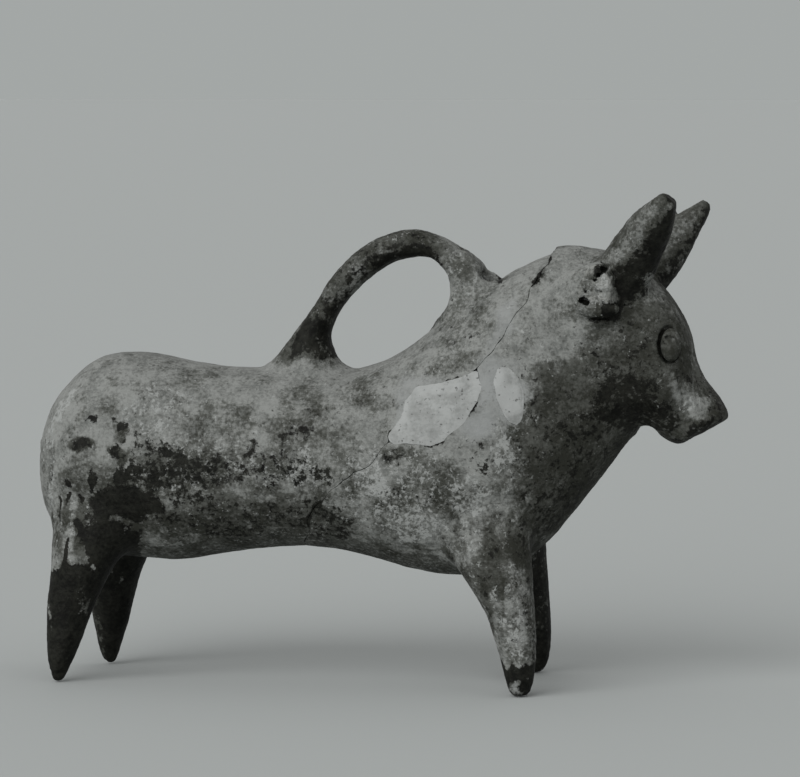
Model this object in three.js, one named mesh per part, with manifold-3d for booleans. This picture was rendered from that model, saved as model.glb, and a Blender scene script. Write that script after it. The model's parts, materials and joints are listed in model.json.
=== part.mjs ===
// A bull-shaped pouring vessel of hand-built, dark-slipped clay, in millimetres, +Z up, head towards +X.
// It is made of the pieces that a potter joins while the clay is leather-hard (a hollow body, four solid
// legs, a loop handle, horns, ears, eye pellets and a tail), parted where it later broke in two, with the
// two plaster fills of its repair.
import * as THREE from "three";
import { mergeVertices } from "three/addons/utils/BufferGeometryUtils.js";
import Module from "manifold-3d";

const wasm = await Module();
wasm.setup();

// Driving sizes of the hollow body
const bellyHeight = 30; // floor to the belly line
const trunkLength = 124; // rump to the front of the shoulders
const trunkDepth = 50; // belly line to the back line
const trunkWidth = 46;
const neckReach = 48; // withers to the poll, lengthways
const neckRise = 28.5; // back line to the top of the neck
const throatReach = 40; // brisket to throat, lengthways
const throatRise = 35; // belly line to throat
const headLength = 21; // throat to the tip of the muzzle
const headDepth = 42; // throat to the poll
const headWidth = 29.5;
const wall = 3.6;

// Joints: what a seated piece keeps from its seat, and how far any cutter runs past what it cuts
const clearance = 0.3;
const overrun = 12;

// Legs
const legSink = 20; // how far a leg's root is buried above the belly line
const frontLegLength = 22; // fore and aft, where it leaves the shoulder
const frontLegWidth = 16.6;
const hindLegLength = 23;
const hindLegWidth = 16;
const hipHalfSpread = 12;
const frontFootHalfSpread = 20.3;
const hindFootHalfSpread = 16.2;
const frontLeftFootLag = 2; // this foot stands a little behind its fellow
const hindLeftFootLead = 5.3; // and this one ahead of it
const legTenon = 8;

// Handle
const handleSpan = 63; // hindmost to foremost point of its two roots
const handleRise = 20.4; // the line between its roots to the crown of the loop
const handleWidth = 9.4;
const rearHandleTenon = 6;
const frontHandleTenon = 4.6;

// Horns and ears
const rightHornLength = 24;
const leftHornLength = 21.6;
const rightHornThickness = 12;
const leftHornThickness = 9.4;
const hornRootHalfGap = 7.5;
const hornTipHalfGap = 17.5;
const leftHornLead = 3.4; // the left horn stands further forward, and leans further too
const hornTenon = 4.6;
const earHeight = 13.6;
const earThickness = 8.4;
const earStub = 5.2; // what is left of the broken right ear
const earLength = 10.5; // the whole left ear
const earTenon = 3.4;

// Eyes, tail and openings
const eyeWidth = 5.2;
const eyeHeight = 8;
const eyeBulge = 1.9;
const eyeSink = 0.7; // how deep a pellet's middle lies under the skin
const eyeGroove = 0.6;
const tailWidth = 5.4;
const tailThickness = 1.1;
const fillHoleLength = 6.2;
const fillHoleWidth = 6;
const pourHole = 5.9;

// Facets
const bodyFacets = { around: 28, along: 46 };
const hollowFacets = { around: 18, along: 26 };
const limbFacets = { around: 14, along: 14 };
const handleFacets = { around: 12, along: 26 };
const hornFacets = { around: 12, along: 9 };
const tailFacets = { around: 10, along: 8 };
const pinFacets = 14;
const pelletFacets = { around: 14, along: 8 };

const backHeight = bellyHeight + trunkDepth;
const outside = trunkLength + neckReach + headLength; // further than any surface of the vessel

// Places on the side view, as [x, z]
const flank = (alongShare, upShare) => [alongShare * trunkLength, bellyHeight + upShare * trunkDepth];
const witherShare = 0.74;
const nape = (alongShare, upShare) => [
  witherShare * trunkLength + alongShare * neckReach,
  backHeight + upShare * neckRise,
];
const brisketShare = 0.906;
const breast = (alongShare, upShare) => [
  brisketShare * trunkLength + alongShare * throatReach,
  bellyHeight + upShare * throatRise,
];
const face = (alongShare, upShare) => {
  const [throatX, throatZ] = breast(1, 1);
  return [throatX + alongShare * headLength, throatZ + upShare * headDepth];
};

// A station is a cross-section, given by two points on the side view and half its width. The first point
// lies to the left of the way that the stations run, seen with the head to the right.
function station(left, right, half, y = 0) {
  return {
    left: new THREE.Vector3(left[0], y, left[1]),
    right: new THREE.Vector3(right[0], y, right[1]),
    half,
  };
}

// A closed solid of oval sections through the stations. Fullness 2 is an ellipse, and more is squarer.
function loft(stations, facets, fullness = 2) {
  const leftLine = new THREE.CatmullRomCurve3(stations.map((s) => s.left));
  const rightLine = new THREE.CatmullRomCurve3(stations.map((s) => s.right));
  const widthLine = new THREE.CatmullRomCurve3(stations.map((s) => new THREE.Vector3(s.half, 0, 0)));
  const rounded = (c) => Math.sign(c) * Math.abs(c) ** (2 / fullness);
  const geometry = new THREE.CylinderGeometry(1, 1, 1, facets.around, facets.along);
  const position = geometry.getAttribute("position");
  const vertex = new THREE.Vector3();
  for (let i = 0; i < position.count; i++) {
    vertex.fromBufferAttribute(position, i);
    const t = Math.min(1, Math.max(0, 1 / 2 - vertex.y));
    const left = leftLine.getPoint(t);
    const right = rightLine.getPoint(t);
    const reach = Math.hypot(vertex.x, vertex.z);
    const angle = Math.atan2(vertex.x, vertex.z);
    const middle = left.clone().add(right).divideScalar(2);
    const arm = left.clone().sub(right).divideScalar(2);
    middle.addScaledVector(arm, reach * rounded(Math.cos(angle)));
    middle.y += reach * widthLine.getPoint(t).x * rounded(Math.sin(angle));
    position.setXYZ(i, middle.x, middle.y, middle.z);
  }
  return welded(geometry);
}

function welded(geometry) {
  const bare = geometry.clone();
  bare.deleteAttribute("normal");
  bare.deleteAttribute("uv");
  return mergeVertices(bare);
}

// The same surface moved along its normals: outwards if the distance is positive.
function grown(geometry, distance) {
  const moved = geometry.clone();
  moved.computeVertexNormals();
  const position = moved.getAttribute("position");
  const normal = moved.getAttribute("normal");
  for (let i = 0; i < position.count; i++) {
    position.setXYZ(
      i,
      position.getX(i) + normal.getX(i) * distance,
      position.getY(i) + normal.getY(i) * distance,
      position.getZ(i) + normal.getZ(i) * distance,
    );
  }
  moved.deleteAttribute("normal");
  return moved;
}

function solid(geometry) {
  const closed = welded(geometry);
  return new wasm.Manifold(
    new wasm.Mesh({
      numProp: 3,
      vertProperties: new Float32Array(closed.getAttribute("position").array),
      triVerts: new Uint32Array(closed.index.array),
    }),
  );
}

// A pin between two points.
function pin(from, to, diameter) {
  const way = to.clone().sub(from);
  const geometry = new THREE.CylinderGeometry(diameter / 2, diameter / 2, way.length(), pinFacets);
  const turn = new THREE.Quaternion().setFromUnitVectors(
    new THREE.Vector3(0, 1, 0),
    way.clone().normalize(),
  );
  geometry.applyQuaternion(turn);
  geometry.translate(...from.clone().add(to).divideScalar(2).toArray());
  return solid(geometry);
}

// An upright shaft with an oval plan, from z low to z high.
function shaft(x, length, width, low, high) {
  const geometry = new THREE.CylinderGeometry(1, 1, high - low, 2 * pinFacets);
  geometry.rotateX(Math.PI / 2);
  geometry.scale(length / 2, width / 2, 1);
  geometry.translate(x, 0, (low + high) / 2);
  return solid(geometry);
}

// A block with the given outline on the side view, from y near to y far.
function block(points, near, far) {
  const shape = new THREE.Shape(points.map(([x, z]) => new THREE.Vector2(x, z)));
  const geometry = new THREE.ExtrudeGeometry(shape, { depth: far - near, bevelEnabled: false });
  geometry.rotateX(Math.PI / 2);
  geometry.translate(0, far, 0);
  return solid(geometry);
}

// An outline, run anticlockwise, with each point moved outwards.
function widened(points, distance) {
  return points.map((point, i) => {
    const before = points[(i + points.length - 1) % points.length];
    const after = points[(i + 1) % points.length];
    const [dx, dz] = [after[0] - before[0], after[1] - before[1]];
    const length = Math.hypot(dx, dz);
    return [point[0] + (dz / length) * distance, point[1] - (dx / length) * distance];
  });
}

// The hollow body: one skin from rump to muzzle, and the same skin a wall further in
const trunkShares = [
  // upper along, up; lower along, up; width
  [0.014, 0.53, 0.014, 0.4, 0.22],
  [0.022, 0.66, 0.022, 0.26, 0.46],
  [0.042, 0.79, 0.04, 0.15, 0.67],
  [0.076, 0.9, 0.075, 0.068, 0.82],
  [0.125, 0.995, 0.13, 0.02, 0.92],
  [0.195, 1.034, 0.205, -0.002, 0.975],
  [0.285, 1.004, 0.298, -0.014, 0.985],
  [0.37, 0.966, 0.383, 0.026, 0.965],
  [0.463, 0.958, 0.488, 0.06, 0.95],
  [0.56, 0.95, 0.6, 0.066, 0.95],
  [0.656, 0.955, 0.713, 0.012, 0.97],
];
const neckShares = [
  // upper along, up; lower along, up; width as a share of the trunk's
  [-0.02, 0.035, -0.3, -0.077, 1.0],
  [0.13, 0.21, 0.0, -0.074, 1.02],
  [0.296, 0.428, 0.275, 0.026, 1.0],
  [0.463, 0.642, 0.475, 0.217, 0.93],
  [0.618, 0.825, 0.625, 0.437, 0.84],
  [0.775, 0.979, 0.79, 0.68, 0.755],
];
const headShares = [
  // upper along, up; lower along, up; width as a share of the head's
  [-0.72, 1.043, -0.176, -0.112, 1.08],
  [-0.438, 1.007, 0.0, 0.0, 1.03],
  [-0.152, 0.948, 0.071, 0.0, 1.0],
  [0.12, 0.861, 0.11, -0.01, 0.975],
  [0.34, 0.752, 0.148, -0.029, 0.95],
  [0.51, 0.633, 0.19, -0.048, 0.9],
  [0.586, 0.488, 0.238, -0.067, 0.8],
  [0.648, 0.357, 0.281, -0.081, 0.68],
  [0.757, 0.255, 0.319, -0.09, 0.58],
  [0.9, 0.169, 0.367, -0.1, 0.545],
  [1.0, 0.083, 0.43, -0.105, 0.56],
];
const bodyFullness = 2.15;
const bodyStations = [
  ...trunkShares.map(([a, b, c, d, w]) => station(flank(a, b), flank(c, d), (w * trunkWidth) / 2)),
  ...neckShares.map(([a, b, c, d, w]) => station(nape(a, b), breast(c, d), (w * trunkWidth) / 2)),
  ...headShares.map(([a, b, c, d, w]) => station(face(a, b), face(c, d), (w * headWidth) / 2)),
];
const skinSurface = loft(bodyStations, bodyFacets, bodyFullness);
const skin = solid(skinSurface);
const seat = solid(grown(skinSurface, clearance)); // what a piece laid on the skin is cut by
const hollow = solid(grown(loft(bodyStations, hollowFacets, bodyFullness), -wall));

const skinMesh = new THREE.Mesh(skinSurface, new THREE.MeshBasicMaterial({ side: THREE.DoubleSide }));

// Where a line from outside first meets the skin, and the direction the skin faces there.
function onSkin(from, direction) {
  const [hit] = new THREE.Raycaster(from, direction).intersectObject(skinMesh);
  const normal = hit.face.normal.clone();
  return { point: hit.point, normal };
}

const below = (x, y) => onSkin(new THREE.Vector3(x, y, -outside), new THREE.Vector3(0, 0, 1));
const above = (x, y) => onSkin(new THREE.Vector3(x, y, outside), new THREE.Vector3(0, 0, -1));
const beside = ([x, z], side) =>
  onSkin(new THREE.Vector3(x, side * outside, z), new THREE.Vector3(0, -side, 0));

// Legs: solid cones whose roots flare into the body, each with a tenon through its wall
const frontLegShares = [
  // up; back, front as shares of the length; width
  [0.0, -0.091, 0.091, 0.24],
  [0.024, -0.127, 0.123, 0.335],
  [0.1, -0.182, 0.159, 0.455],
  [0.24, -0.273, 0.177, 0.58],
  [0.4, -0.414, 0.15, 0.7],
  [0.54, -0.632, 0.123, 0.87],
  [0.68, -0.836, 0.095, 1.0],
  [0.84, -0.927, 0.05, 0.93],
  [1.0, -0.8, -0.02, 0.7],
];
const hindLegShares = [
  [0.0, -0.052, 0.057, 0.165],
  [0.02, -0.07, 0.083, 0.24],
  [0.1, -0.109, 0.161, 0.4],
  [0.24, -0.135, 0.291, 0.575],
  [0.4, -0.126, 0.417, 0.7],
  [0.54, -0.091, 0.561, 0.85],
  [0.68, -0.083, 0.75, 1.0],
  [0.84, -0.06, 0.9, 0.96],
  [1.0, 0.02, 0.95, 0.72],
];
const rootHeight = bellyHeight + legSink;
const tenonFootShare = 0.5; // heights of the two ends of a leg's tenon
const tenonHeadShare = 1.15;
const frontLegShare = 1.01; // where the feet stand along the trunk
const hindLegShare = 0.069;

function leg({ shares, footX, footShift, footY, length, width, side }) {
  const spot = (upShare, alongShare) => {
    const x = footX + alongShare * length + footShift * (1 - upShare);
    return [x, upShare * rootHeight];
  };
  const across = (upShare) => side * THREE.MathUtils.lerp(footY, hipHalfSpread, upShare);
  const cone = solid(
    loft(
      shares.map(([up, back, front, w]) =>
        station(spot(up, back), spot(up, front), (w * width) / 2, across(up)),
      ),
      limbFacets,
    ),
  );
  const [, rootBack, rootFront] = shares[shares.length - 3];
  const [footBack, footFront] = shares[Math.floor(shares.length / 2)].slice(1);
  const end = (upShare, alongShare) => {
    const [x, z] = spot(upShare, alongShare);
    return new THREE.Vector3(x, across(upShare), z);
  };
  return {
    cone,
    tenonFoot: end(tenonFootShare, (footBack + footFront) / 2),
    tenonHead: end(tenonHeadShare, (rootBack + rootFront) / 2),
  };
}

const legs = {};
for (const [sideName, side] of Object.entries({ right: -1, left: 1 })) {
  const isLeft = side > 0;
  legs[`front_${sideName}_leg`] = leg({
    shares: frontLegShares,
    footX: frontLegShare * trunkLength,
    footShift: isLeft ? -frontLeftFootLag : 0,
    footY: frontFootHalfSpread,
    length: frontLegLength,
    width: frontLegWidth,
    side,
  });
  legs[`hind_${sideName}_leg`] = leg({
    shares: hindLegShares,
    footX: hindLegShare * trunkLength,
    footShift: isLeft ? hindLeftFootLead : 0,
    footY: hindFootHalfSpread,
    length: hindLegLength,
    width: hindLegWidth,
    side,
  });
}

// Handle: an oval loop from the middle of the back to the nape
// Along runs from its hindmost to its foremost point, and above is measured from the line between them.
const handleSeat = nape(0.597, 0.8); // its foremost point
const handleShares = [
  // outer along, above; inner along, above; width
  [-0.02, -0.51, 0.40, -0.95, 1.70],
  [0.01, -0.17, 0.36, -0.60, 1.55],
  [0.07, 0.01, 0.30, -0.29, 1.30],
  [0.14, 0.24, 0.27, 0.01, 1.10],
  [0.20, 0.52, 0.28, 0.26, 1.00],
  [0.28, 0.80, 0.33, 0.45, 0.97],
  [0.38, 0.96, 0.41, 0.60, 0.97],
  [0.50, 1.00, 0.51, 0.64, 0.97],
  [0.62, 0.91, 0.61, 0.57, 0.98],
  [0.74, 0.66, 0.68, 0.45, 1.00],
  [0.84, 0.35, 0.72, 0.23, 1.10],
  [0.91, 0.08, 0.73, 0.00, 1.32],
  [0.96, -0.14, 0.71, -0.23, 1.60],
  [0.99, -0.37, 0.68, -0.48, 1.75],
];
const loop = ([along, above]) => [
  handleSeat[0] - (1 - along) * handleSpan,
  THREE.MathUtils.lerp(backHeight, handleSeat[1], along) + above * handleRise,
];
const handleLoop = solid(
  loft(
    handleShares.map(([a, b, c, d, w]) => station(loop([a, b]), loop([c, d]), (w * handleWidth) / 2)),
    handleFacets,
    bodyFullness,
  ),
);
const upright = (x, z) => new THREE.Vector3(x, 0, z);
const rearTenonSpot = loop([0.19, 0.02]);
const frontTenonSpot = loop([0.755, 0.09]);
const rearHandlePin = { x: rearTenonSpot[0], top: rearTenonSpot[1], diameter: rearHandleTenon };
const frontHandlePin = { x: frontTenonSpot[0], top: frontTenonSpot[1], diameter: frontHandleTenon };
const fillHoleShare = 1.25; // of its own length, from the handle's foremost point back to its middle
const fillHoleX = handleSeat[0] - fillHoleShare * fillHoleLength;

// Horns: tapering rods, blunt at the tip
const hornShares = [
  // forward, up of the horn's middle line; thickness; width
  [-0.34, -0.36, 1.15, 1.05],
  [-0.15, -0.05, 1.15, 1.0],
  [0.0, 0.2, 1.06, 0.94],
  [0.137, 0.44, 0.92, 0.84],
  [0.29, 0.69, 0.74, 0.7],
  [0.38, 0.86, 0.52, 0.52],
  [0.41, 0.93, 0.25, 0.28],
];
const hornRoot = face(-0.1, 0.83); // where a horn's middle line leaves the head
const hornSlant = new THREE.Vector2(-0.88, 0.47).normalize(); // its back faces backwards and up

function horn(hornLength, thickness, lead, side) {
  const spots = hornShares.map(([forward, up, thick, wide]) => {
    const rise = Math.max(0, up);
    const x = hornRoot[0] + forward * hornLength + lead * (1 + rise);
    const z = hornRoot[1] + up * hornLength;
    const y = side * THREE.MathUtils.lerp(hornRootHalfGap, hornTipHalfGap, rise);
    const arm = hornSlant.clone().multiplyScalar((thick * thickness) / 2);
    return station([x + arm.x, z + arm.y], [x - arm.x, z - arm.y], (wide * thickness) / 2, y);
  });
  const middle = (i) => spots[i].left.clone().add(spots[i].right).divideScalar(2);
  const way = middle(1).sub(middle(2)).setLength(outside);
  const surface = loft(spots, hornFacets);
  return {
    cone: solid(surface),
    room: solid(grown(surface, clearance)), // what a neighbour leaves free
    tenonTop: middle(2),
    tenonEnd: middle(2).add(way),
  };
}
const horns = {
  right_horn: horn(rightHornLength, rightHornThickness, 0, -1),
  left_horn: horn(leftHornLength, leftHornThickness, leftHornLead, 1),
};

// Ears: flat lugs, turned to stand out from the side of the head and trimmed by the skin
const earStubShares = [
  // radius, reach
  [0, -1],
  [1, -1],
  [1, 0],
  [0.97, 0.4],
  [0.9, 0.75],
  [0.78, 0.94],
  [0.5, 1],
  [0, 1],
];
const earWholeShares = [
  [0, -0.5],
  [1, -0.5],
  [1, 0],
  [0.96, 0.2],
  [0.82, 0.5],
  [0.52, 0.8],
  [0.22, 0.96],
  [0, 1],
];
const earSpot = face(-0.39, 0.765);
const earLift = new THREE.Vector3(-0.25, 0, 0.15); // an ear points back and up a little

function ear(shares, reach, side) {
  const profile = shares.map(([r, h]) => new THREE.Vector2((r * earHeight) / 2, h * reach));
  const geometry = new THREE.LatheGeometry(profile, pinFacets);
  geometry.scale(earThickness / earHeight, 1, 1);
  const { point } = beside(earSpot, side);
  const sideways = new THREE.Vector3(0, side, 0);
  const way = sideways.clone().add(earLift).normalize();
  geometry.rotateX(side < 0 ? Math.PI : 0);
  geometry.applyQuaternion(new THREE.Quaternion().setFromUnitVectors(sideways, way));
  geometry.translate(...point.toArray());
  const root = point.clone().setZ(point.z - earHeight / 4); // its tenon keeps clear of the horn's
  return {
    cone: solid(geometry),
    tenonTop: root.clone().addScaledVector(way, reach / 3),
    tenonEnd: root.clone().addScaledVector(way, -outside / 4),
  };
}
const ears = {
  right_ear_stub: ear(earStubShares, earStub, -1),
  left_ear: ear(earWholeShares, earLength, 1),
};

// Eyes: oval pellets pressed into shallow sockets
const eyeSpot = face(0.414, 0.488);
const eyeTilt = THREE.MathUtils.degToRad(8);

function eye(side) {
  const { point, normal } = beside(eyeSpot, side);
  const outwards = normal.multiplyScalar(Math.sign(normal.y * side));
  const pellet = (extraWidth, extraDepth) => {
    const geometry = new THREE.SphereGeometry(1, pelletFacets.around, pelletFacets.along);
    geometry.scale(eyeWidth / 2 + extraWidth, eyeHeight / 2 + extraWidth, eyeBulge + extraDepth);
    geometry.rotateZ(eyeTilt * side);
    geometry.rotateX(Math.PI / 2);
    const facing = new THREE.Vector3(0, side, 0);
    geometry.applyQuaternion(new THREE.Quaternion().setFromUnitVectors(facing, outwards));
    geometry.translate(...point.clone().addScaledVector(outwards, -eyeSink).toArray());
    return solid(geometry);
  };
  return { pellet: pellet(0, 0), socket: pellet(eyeGroove, clearance) };
}
const eyes = { right_eye: eye(-1), left_eye: eye(1) };

// Tail: a flat strip laid down the middle of the rump
const tailHeightShares = [0.22, 0.36, 0.52, 0.68, 0.82, 0.93, 0.97];
const tailWidthShares = [0.8, 1.05, 1.0, 1.0, 1.0, 0.95, 0.7];
const tailBackShare = 0.02; // how far a ray may start behind the rump
const tailStations = tailHeightShares.map((upShare, i) => {
  const [x, z] = flank(-tailBackShare, upShare);
  const { point, normal } = onSkin(new THREE.Vector3(x, 0, z), new THREE.Vector3(1, 0, 0));
  const outer = point.clone().addScaledVector(normal, clearance + tailThickness);
  const inner = point.clone().addScaledVector(normal, -wall / 2);
  const half = (tailWidthShares[i] * tailWidth) / 2;
  return station([outer.x, outer.z], [inner.x, inner.z], half);
});
const tailStrip = solid(loft(tailStations, tailFacets, 2 * bodyFullness));

// Break and luting lines, each drawn on the side view from top to bottom
const breakLine = [
  nape(0.82, 1.4),
  nape(0.808, 0.86),
  nape(0.712, 0.6),
  nape(0.648, 0.39),
  nape(0.55, 0.13),
  nape(0.43, -0.08),
  flank(0.834, 0.8),
  flank(0.752, 0.62),
  flank(0.706, 0.5),
  flank(0.638, 0.41),
  flank(0.602, 0.29),
  flank(0.571, 0.18),
  flank(0.545, -0.3),
];
const headLine = [face(-0.72, 1.3), face(-0.665, 1.0), face(-0.12, -0.06), face(-0.06, -0.3)];
const [endX] = face(1, 0);
const farLeft = -overrun;
const farRight = endX + overrun;
const farUp = backHeight + neckRise + handleRise + overrun;
const farDown = -overrun;
const shifted = (line, distance) => line.map(([x, z]) => [x + distance, z]);
const downwards = (line) => [[line[0][0], farUp], ...line, [line[line.length - 1][0], farDown]];
const behind = (line) =>
  block([[farLeft, farDown], ...downwards(line).reverse(), [farLeft, farUp]], -outside, outside);
const ahead = (line) =>
  block([...downwards(line), [farRight, farDown], [farRight, farUp]], -outside, outside);

// Plaster fills: plugs through the right flank, as wide as the wall is thick
const largeFillOutline = [
  flank(0.756, 0.622),
  flank(0.805, 0.624),
  flank(0.864, 0.646),
  flank(0.894, 0.72),
  flank(0.914, 0.784),
  flank(0.932, 0.88),
  flank(0.931, 0.948),
  flank(0.92, 0.985),
  flank(0.9, 0.96),
  flank(0.874, 0.922),
  flank(0.83, 0.914),
  flank(0.8, 0.9),
  flank(0.795, 0.85),
  flank(0.775, 0.74),
  flank(0.75, 0.66),
];
const smallFillOutline = [
  flank(0.99, 0.73),
  flank(1.008, 0.71),
  flank(1.012, 0.8),
  flank(1.014, 0.87),
  flank(1.003, 0.945),
  flank(0.985, 0.99),
  flank(0.962, 0.995),
  flank(0.958, 0.93),
  flank(0.97, 0.82),
];
const rightSide = [-outside, -wall];

// Cutting the pieces apart
const shell = skin.subtract(hollow);
const neckTop = above(fillHoleX, 0).point.z;
const fillHole = shaft(fillHoleX, fillHoleLength, fillHoleWidth, neckTop - 3 * wall, farUp);
const [muzzleX] = face(0.62, 0);
const muzzleEnd = below(muzzleX, 0).point.z;
const pourHoleShaft = shaft(muzzleX, pourHole, pourHole, muzzleEnd - overrun, muzzleEnd + 1.4 * wall);

let clay = shell;
clay = clay.subtract(fillHole).subtract(pourHoleShaft);
clay = clay.subtract(block(widened(largeFillOutline, clearance), ...rightSide));
clay = clay.subtract(block(widened(smallFillOutline, clearance), ...rightSide));

const pieces = {};

// A limb seated on the skin, with a tenon that fills its socket as far as the hollow.
function seated(name, cone, from, to, diameter) {
  const tenon = pin(from, to, diameter).subtract(hollow);
  const kept = tenon.decompose().sort((a, b) => b.volume() - a.volume());
  const near = kept.find((part) => part.intersect(cone.subtract(seat)).volume() > 0);
  pieces[name] = cone.subtract(seat).add(near);
  clay = clay.subtract(pin(from, to, diameter + 2 * clearance));
}

for (const [name, { cone, tenonFoot, tenonHead }] of Object.entries(legs)) {
  seated(name, cone, tenonFoot, tenonHead, legTenon);
}
for (const [name, { cone, tenonTop, tenonEnd }] of Object.entries(horns)) {
  const reach = tenonEnd.clone().sub(tenonTop).setLength(rightHornLength);
  seated(name, cone, tenonTop, tenonTop.clone().add(reach), hornTenon);
}
for (const [name, { cone, tenonTop, tenonEnd }] of Object.entries(ears)) {
  const reach = tenonEnd.clone().sub(tenonTop).setLength(earLength);
  const trimmed = cone.subtract(horns.right_horn.room).subtract(horns.left_horn.room);
  seated(name, trimmed, tenonTop, tenonTop.clone().add(reach), earTenon);
}
let handle = handleLoop.subtract(seat);
for (const { x, top, diameter } of [rearHandlePin, frontHandlePin]) {
  const depth = above(x, 0).point.z - 3 * wall;
  const tenon = pin(upright(x, top), upright(x, depth), diameter).subtract(hollow);
  handle = handle.add(tenon);
  clay = clay.subtract(pin(upright(x, top), upright(x, depth), diameter + 2 * clearance));
}
pieces.handle = handle.subtract(fillHole);
for (const [name, { pellet, socket }] of Object.entries(eyes)) {
  pieces[name] = pellet;
  clay = clay.subtract(socket);
}
pieces.tail = tailStrip.subtract(seat);
pieces.large_plaster_fill = shell.intersect(block(largeFillOutline, ...rightSide));
pieces.small_plaster_fill = shell.intersect(block(smallFillOutline, ...rightSide));
pieces.rear_body = clay.intersect(behind(shifted(breakLine, -clearance)));
pieces.front_body = clay.intersect(ahead(breakLine)).intersect(behind(shifted(headLine, -clearance)));
pieces.head = clay.intersect(ahead(headLine));

// Materials
const slippedClay = { color: 0x66665f, roughness: 0.82, metalness: 0 };
const darkClay = { color: 0x34342f, roughness: 0.78, metalness: 0 };
const brokenClay = { color: 0x85867f, roughness: 0.95, metalness: 0 };
const plaster = { color: 0xa3a7a3, roughness: 0.9, metalness: 0 };
const finishes = {
  large_plaster_fill: plaster,
  small_plaster_fill: plaster,
  right_ear_stub: brokenClay,
  front_left_leg: darkClay,
  hind_left_leg: darkClay,
  hind_right_leg: darkClay,
};

function meshOf(name, part) {
  const { vertProperties, numProp, numVert, triVerts } = part.getMesh();
  const positions = new Float32Array(numVert * 3);
  for (let i = 0; i < numVert; i++) {
    positions.set(vertProperties.subarray(i * numProp, i * numProp + 3), i * 3);
  }
  const geometry = new THREE.BufferGeometry();
  geometry.setAttribute("position", new THREE.BufferAttribute(positions, 3));
  geometry.setIndex(new THREE.BufferAttribute(triVerts, 1));
  geometry.computeVertexNormals();
  const mesh = new THREE.Mesh(geometry, new THREE.MeshStandardMaterial(finishes[name] ?? slippedClay));
  mesh.name = name;
  return mesh;
}

const bull = new THREE.Group();
bull.name = "bull_vessel";
for (const [name, part] of Object.entries(pieces)) {
  bull.add(meshOf(name, part));
}

// The feet stand on z = 0, and the origin is under the middle of the whole vessel.
const extent = new THREE.Box3().setFromObject(bull);
const middle = extent.getCenter(new THREE.Vector3());
bull.position.set(-middle.x, -middle.y, -extent.min.z);

export default bull;
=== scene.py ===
# %% [markdown]
# A bull-shaped pouring vessel
# This lesson dresses a plain model of a small clay pot in the shape of a bull, about 17 cm long.
# The real pot was built by hand from soft clay: a hollow body, a neck and head added to it, solid legs,
# horns and ears pushed on, a strap handle laid over the back, and everything smoothed together with a wet
# finger. It was dipped in a dark slip, rubbed with a pebble and fired. Later it broke, and plaster now
# closes two holes in its shoulder.
# The plain model gives every piece its place and size. We load it first and write nothing into it.

# %% Load the plain model
import math

import bmesh
import bpy
import numpy as np
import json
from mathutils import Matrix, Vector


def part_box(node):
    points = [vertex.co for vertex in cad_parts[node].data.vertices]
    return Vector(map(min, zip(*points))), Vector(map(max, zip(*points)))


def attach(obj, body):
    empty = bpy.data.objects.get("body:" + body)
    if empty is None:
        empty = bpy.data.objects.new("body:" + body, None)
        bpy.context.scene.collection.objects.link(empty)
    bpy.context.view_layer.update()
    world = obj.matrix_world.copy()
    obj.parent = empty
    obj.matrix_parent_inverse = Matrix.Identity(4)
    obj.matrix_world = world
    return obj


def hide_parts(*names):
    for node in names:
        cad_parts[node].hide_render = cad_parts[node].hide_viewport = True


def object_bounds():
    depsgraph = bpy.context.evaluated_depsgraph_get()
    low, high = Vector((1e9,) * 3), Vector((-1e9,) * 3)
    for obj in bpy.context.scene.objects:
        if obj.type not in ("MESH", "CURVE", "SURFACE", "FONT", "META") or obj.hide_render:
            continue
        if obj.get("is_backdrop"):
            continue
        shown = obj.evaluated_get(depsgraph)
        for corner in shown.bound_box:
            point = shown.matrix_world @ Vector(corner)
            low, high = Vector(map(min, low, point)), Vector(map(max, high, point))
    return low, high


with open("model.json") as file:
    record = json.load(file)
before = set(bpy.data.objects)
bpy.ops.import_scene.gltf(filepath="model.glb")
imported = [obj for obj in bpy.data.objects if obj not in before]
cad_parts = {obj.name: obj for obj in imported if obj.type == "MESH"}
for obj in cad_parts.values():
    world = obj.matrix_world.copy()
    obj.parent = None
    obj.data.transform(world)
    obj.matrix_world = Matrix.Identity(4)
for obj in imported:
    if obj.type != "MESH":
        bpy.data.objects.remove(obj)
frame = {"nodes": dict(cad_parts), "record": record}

import openvdb
from mathutils import Vector

cad_low, cad_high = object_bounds()
nodes = frame["nodes"]
print("pieces in the plain model:", len(nodes))
print("its size in mm:", [round(1000 * side, 1) for side in cad_high - cad_low])

# %% [markdown]
# The viewpoint
# The photographer stood beside the bull's right flank, a little towards its head and a little above it, far
# back with a long lens, so the far legs show between the near ones. A camera aimed at a point in the middle
# of the body, turned 10 degrees round it and raised 4.5 degrees, gives the same outline.

# %% Set up the camera
AIM = Vector((0.00529, -0.00005, 0.073))
TURN = math.radians(10)
RISE = math.radians(4.5)
AWAY = 1.0
FOCAL_LENGTH, SENSOR_WIDTH = 181.8, 36


def direction(turn, rise):
    """Unit vector from the object to a viewer turned from its right flank towards its head, and raised."""
    return Vector((math.sin(turn) * math.cos(rise), -math.cos(turn) * math.cos(rise), math.sin(rise)))


def aim(thing, place, target):
    """Puts a camera or a lamp at a place and points it at a target."""
    thing.location = place
    thing.rotation_euler = (target - place).to_track_quat("-Z", "Y").to_euler()


lens = bpy.data.cameras.new("viewpoint")
lens.lens = FOCAL_LENGTH
lens.sensor_width = SENSOR_WIDTH
lens.clip_start = 0.05
camera = bpy.data.objects.new("viewpoint", lens)
bpy.context.collection.objects.link(camera)
aim(camera, AIM + AWAY * direction(TURN, RISE), AIM)
bpy.context.scene.camera = camera
print("camera at", [round(v, 3) for v in camera.location])

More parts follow.
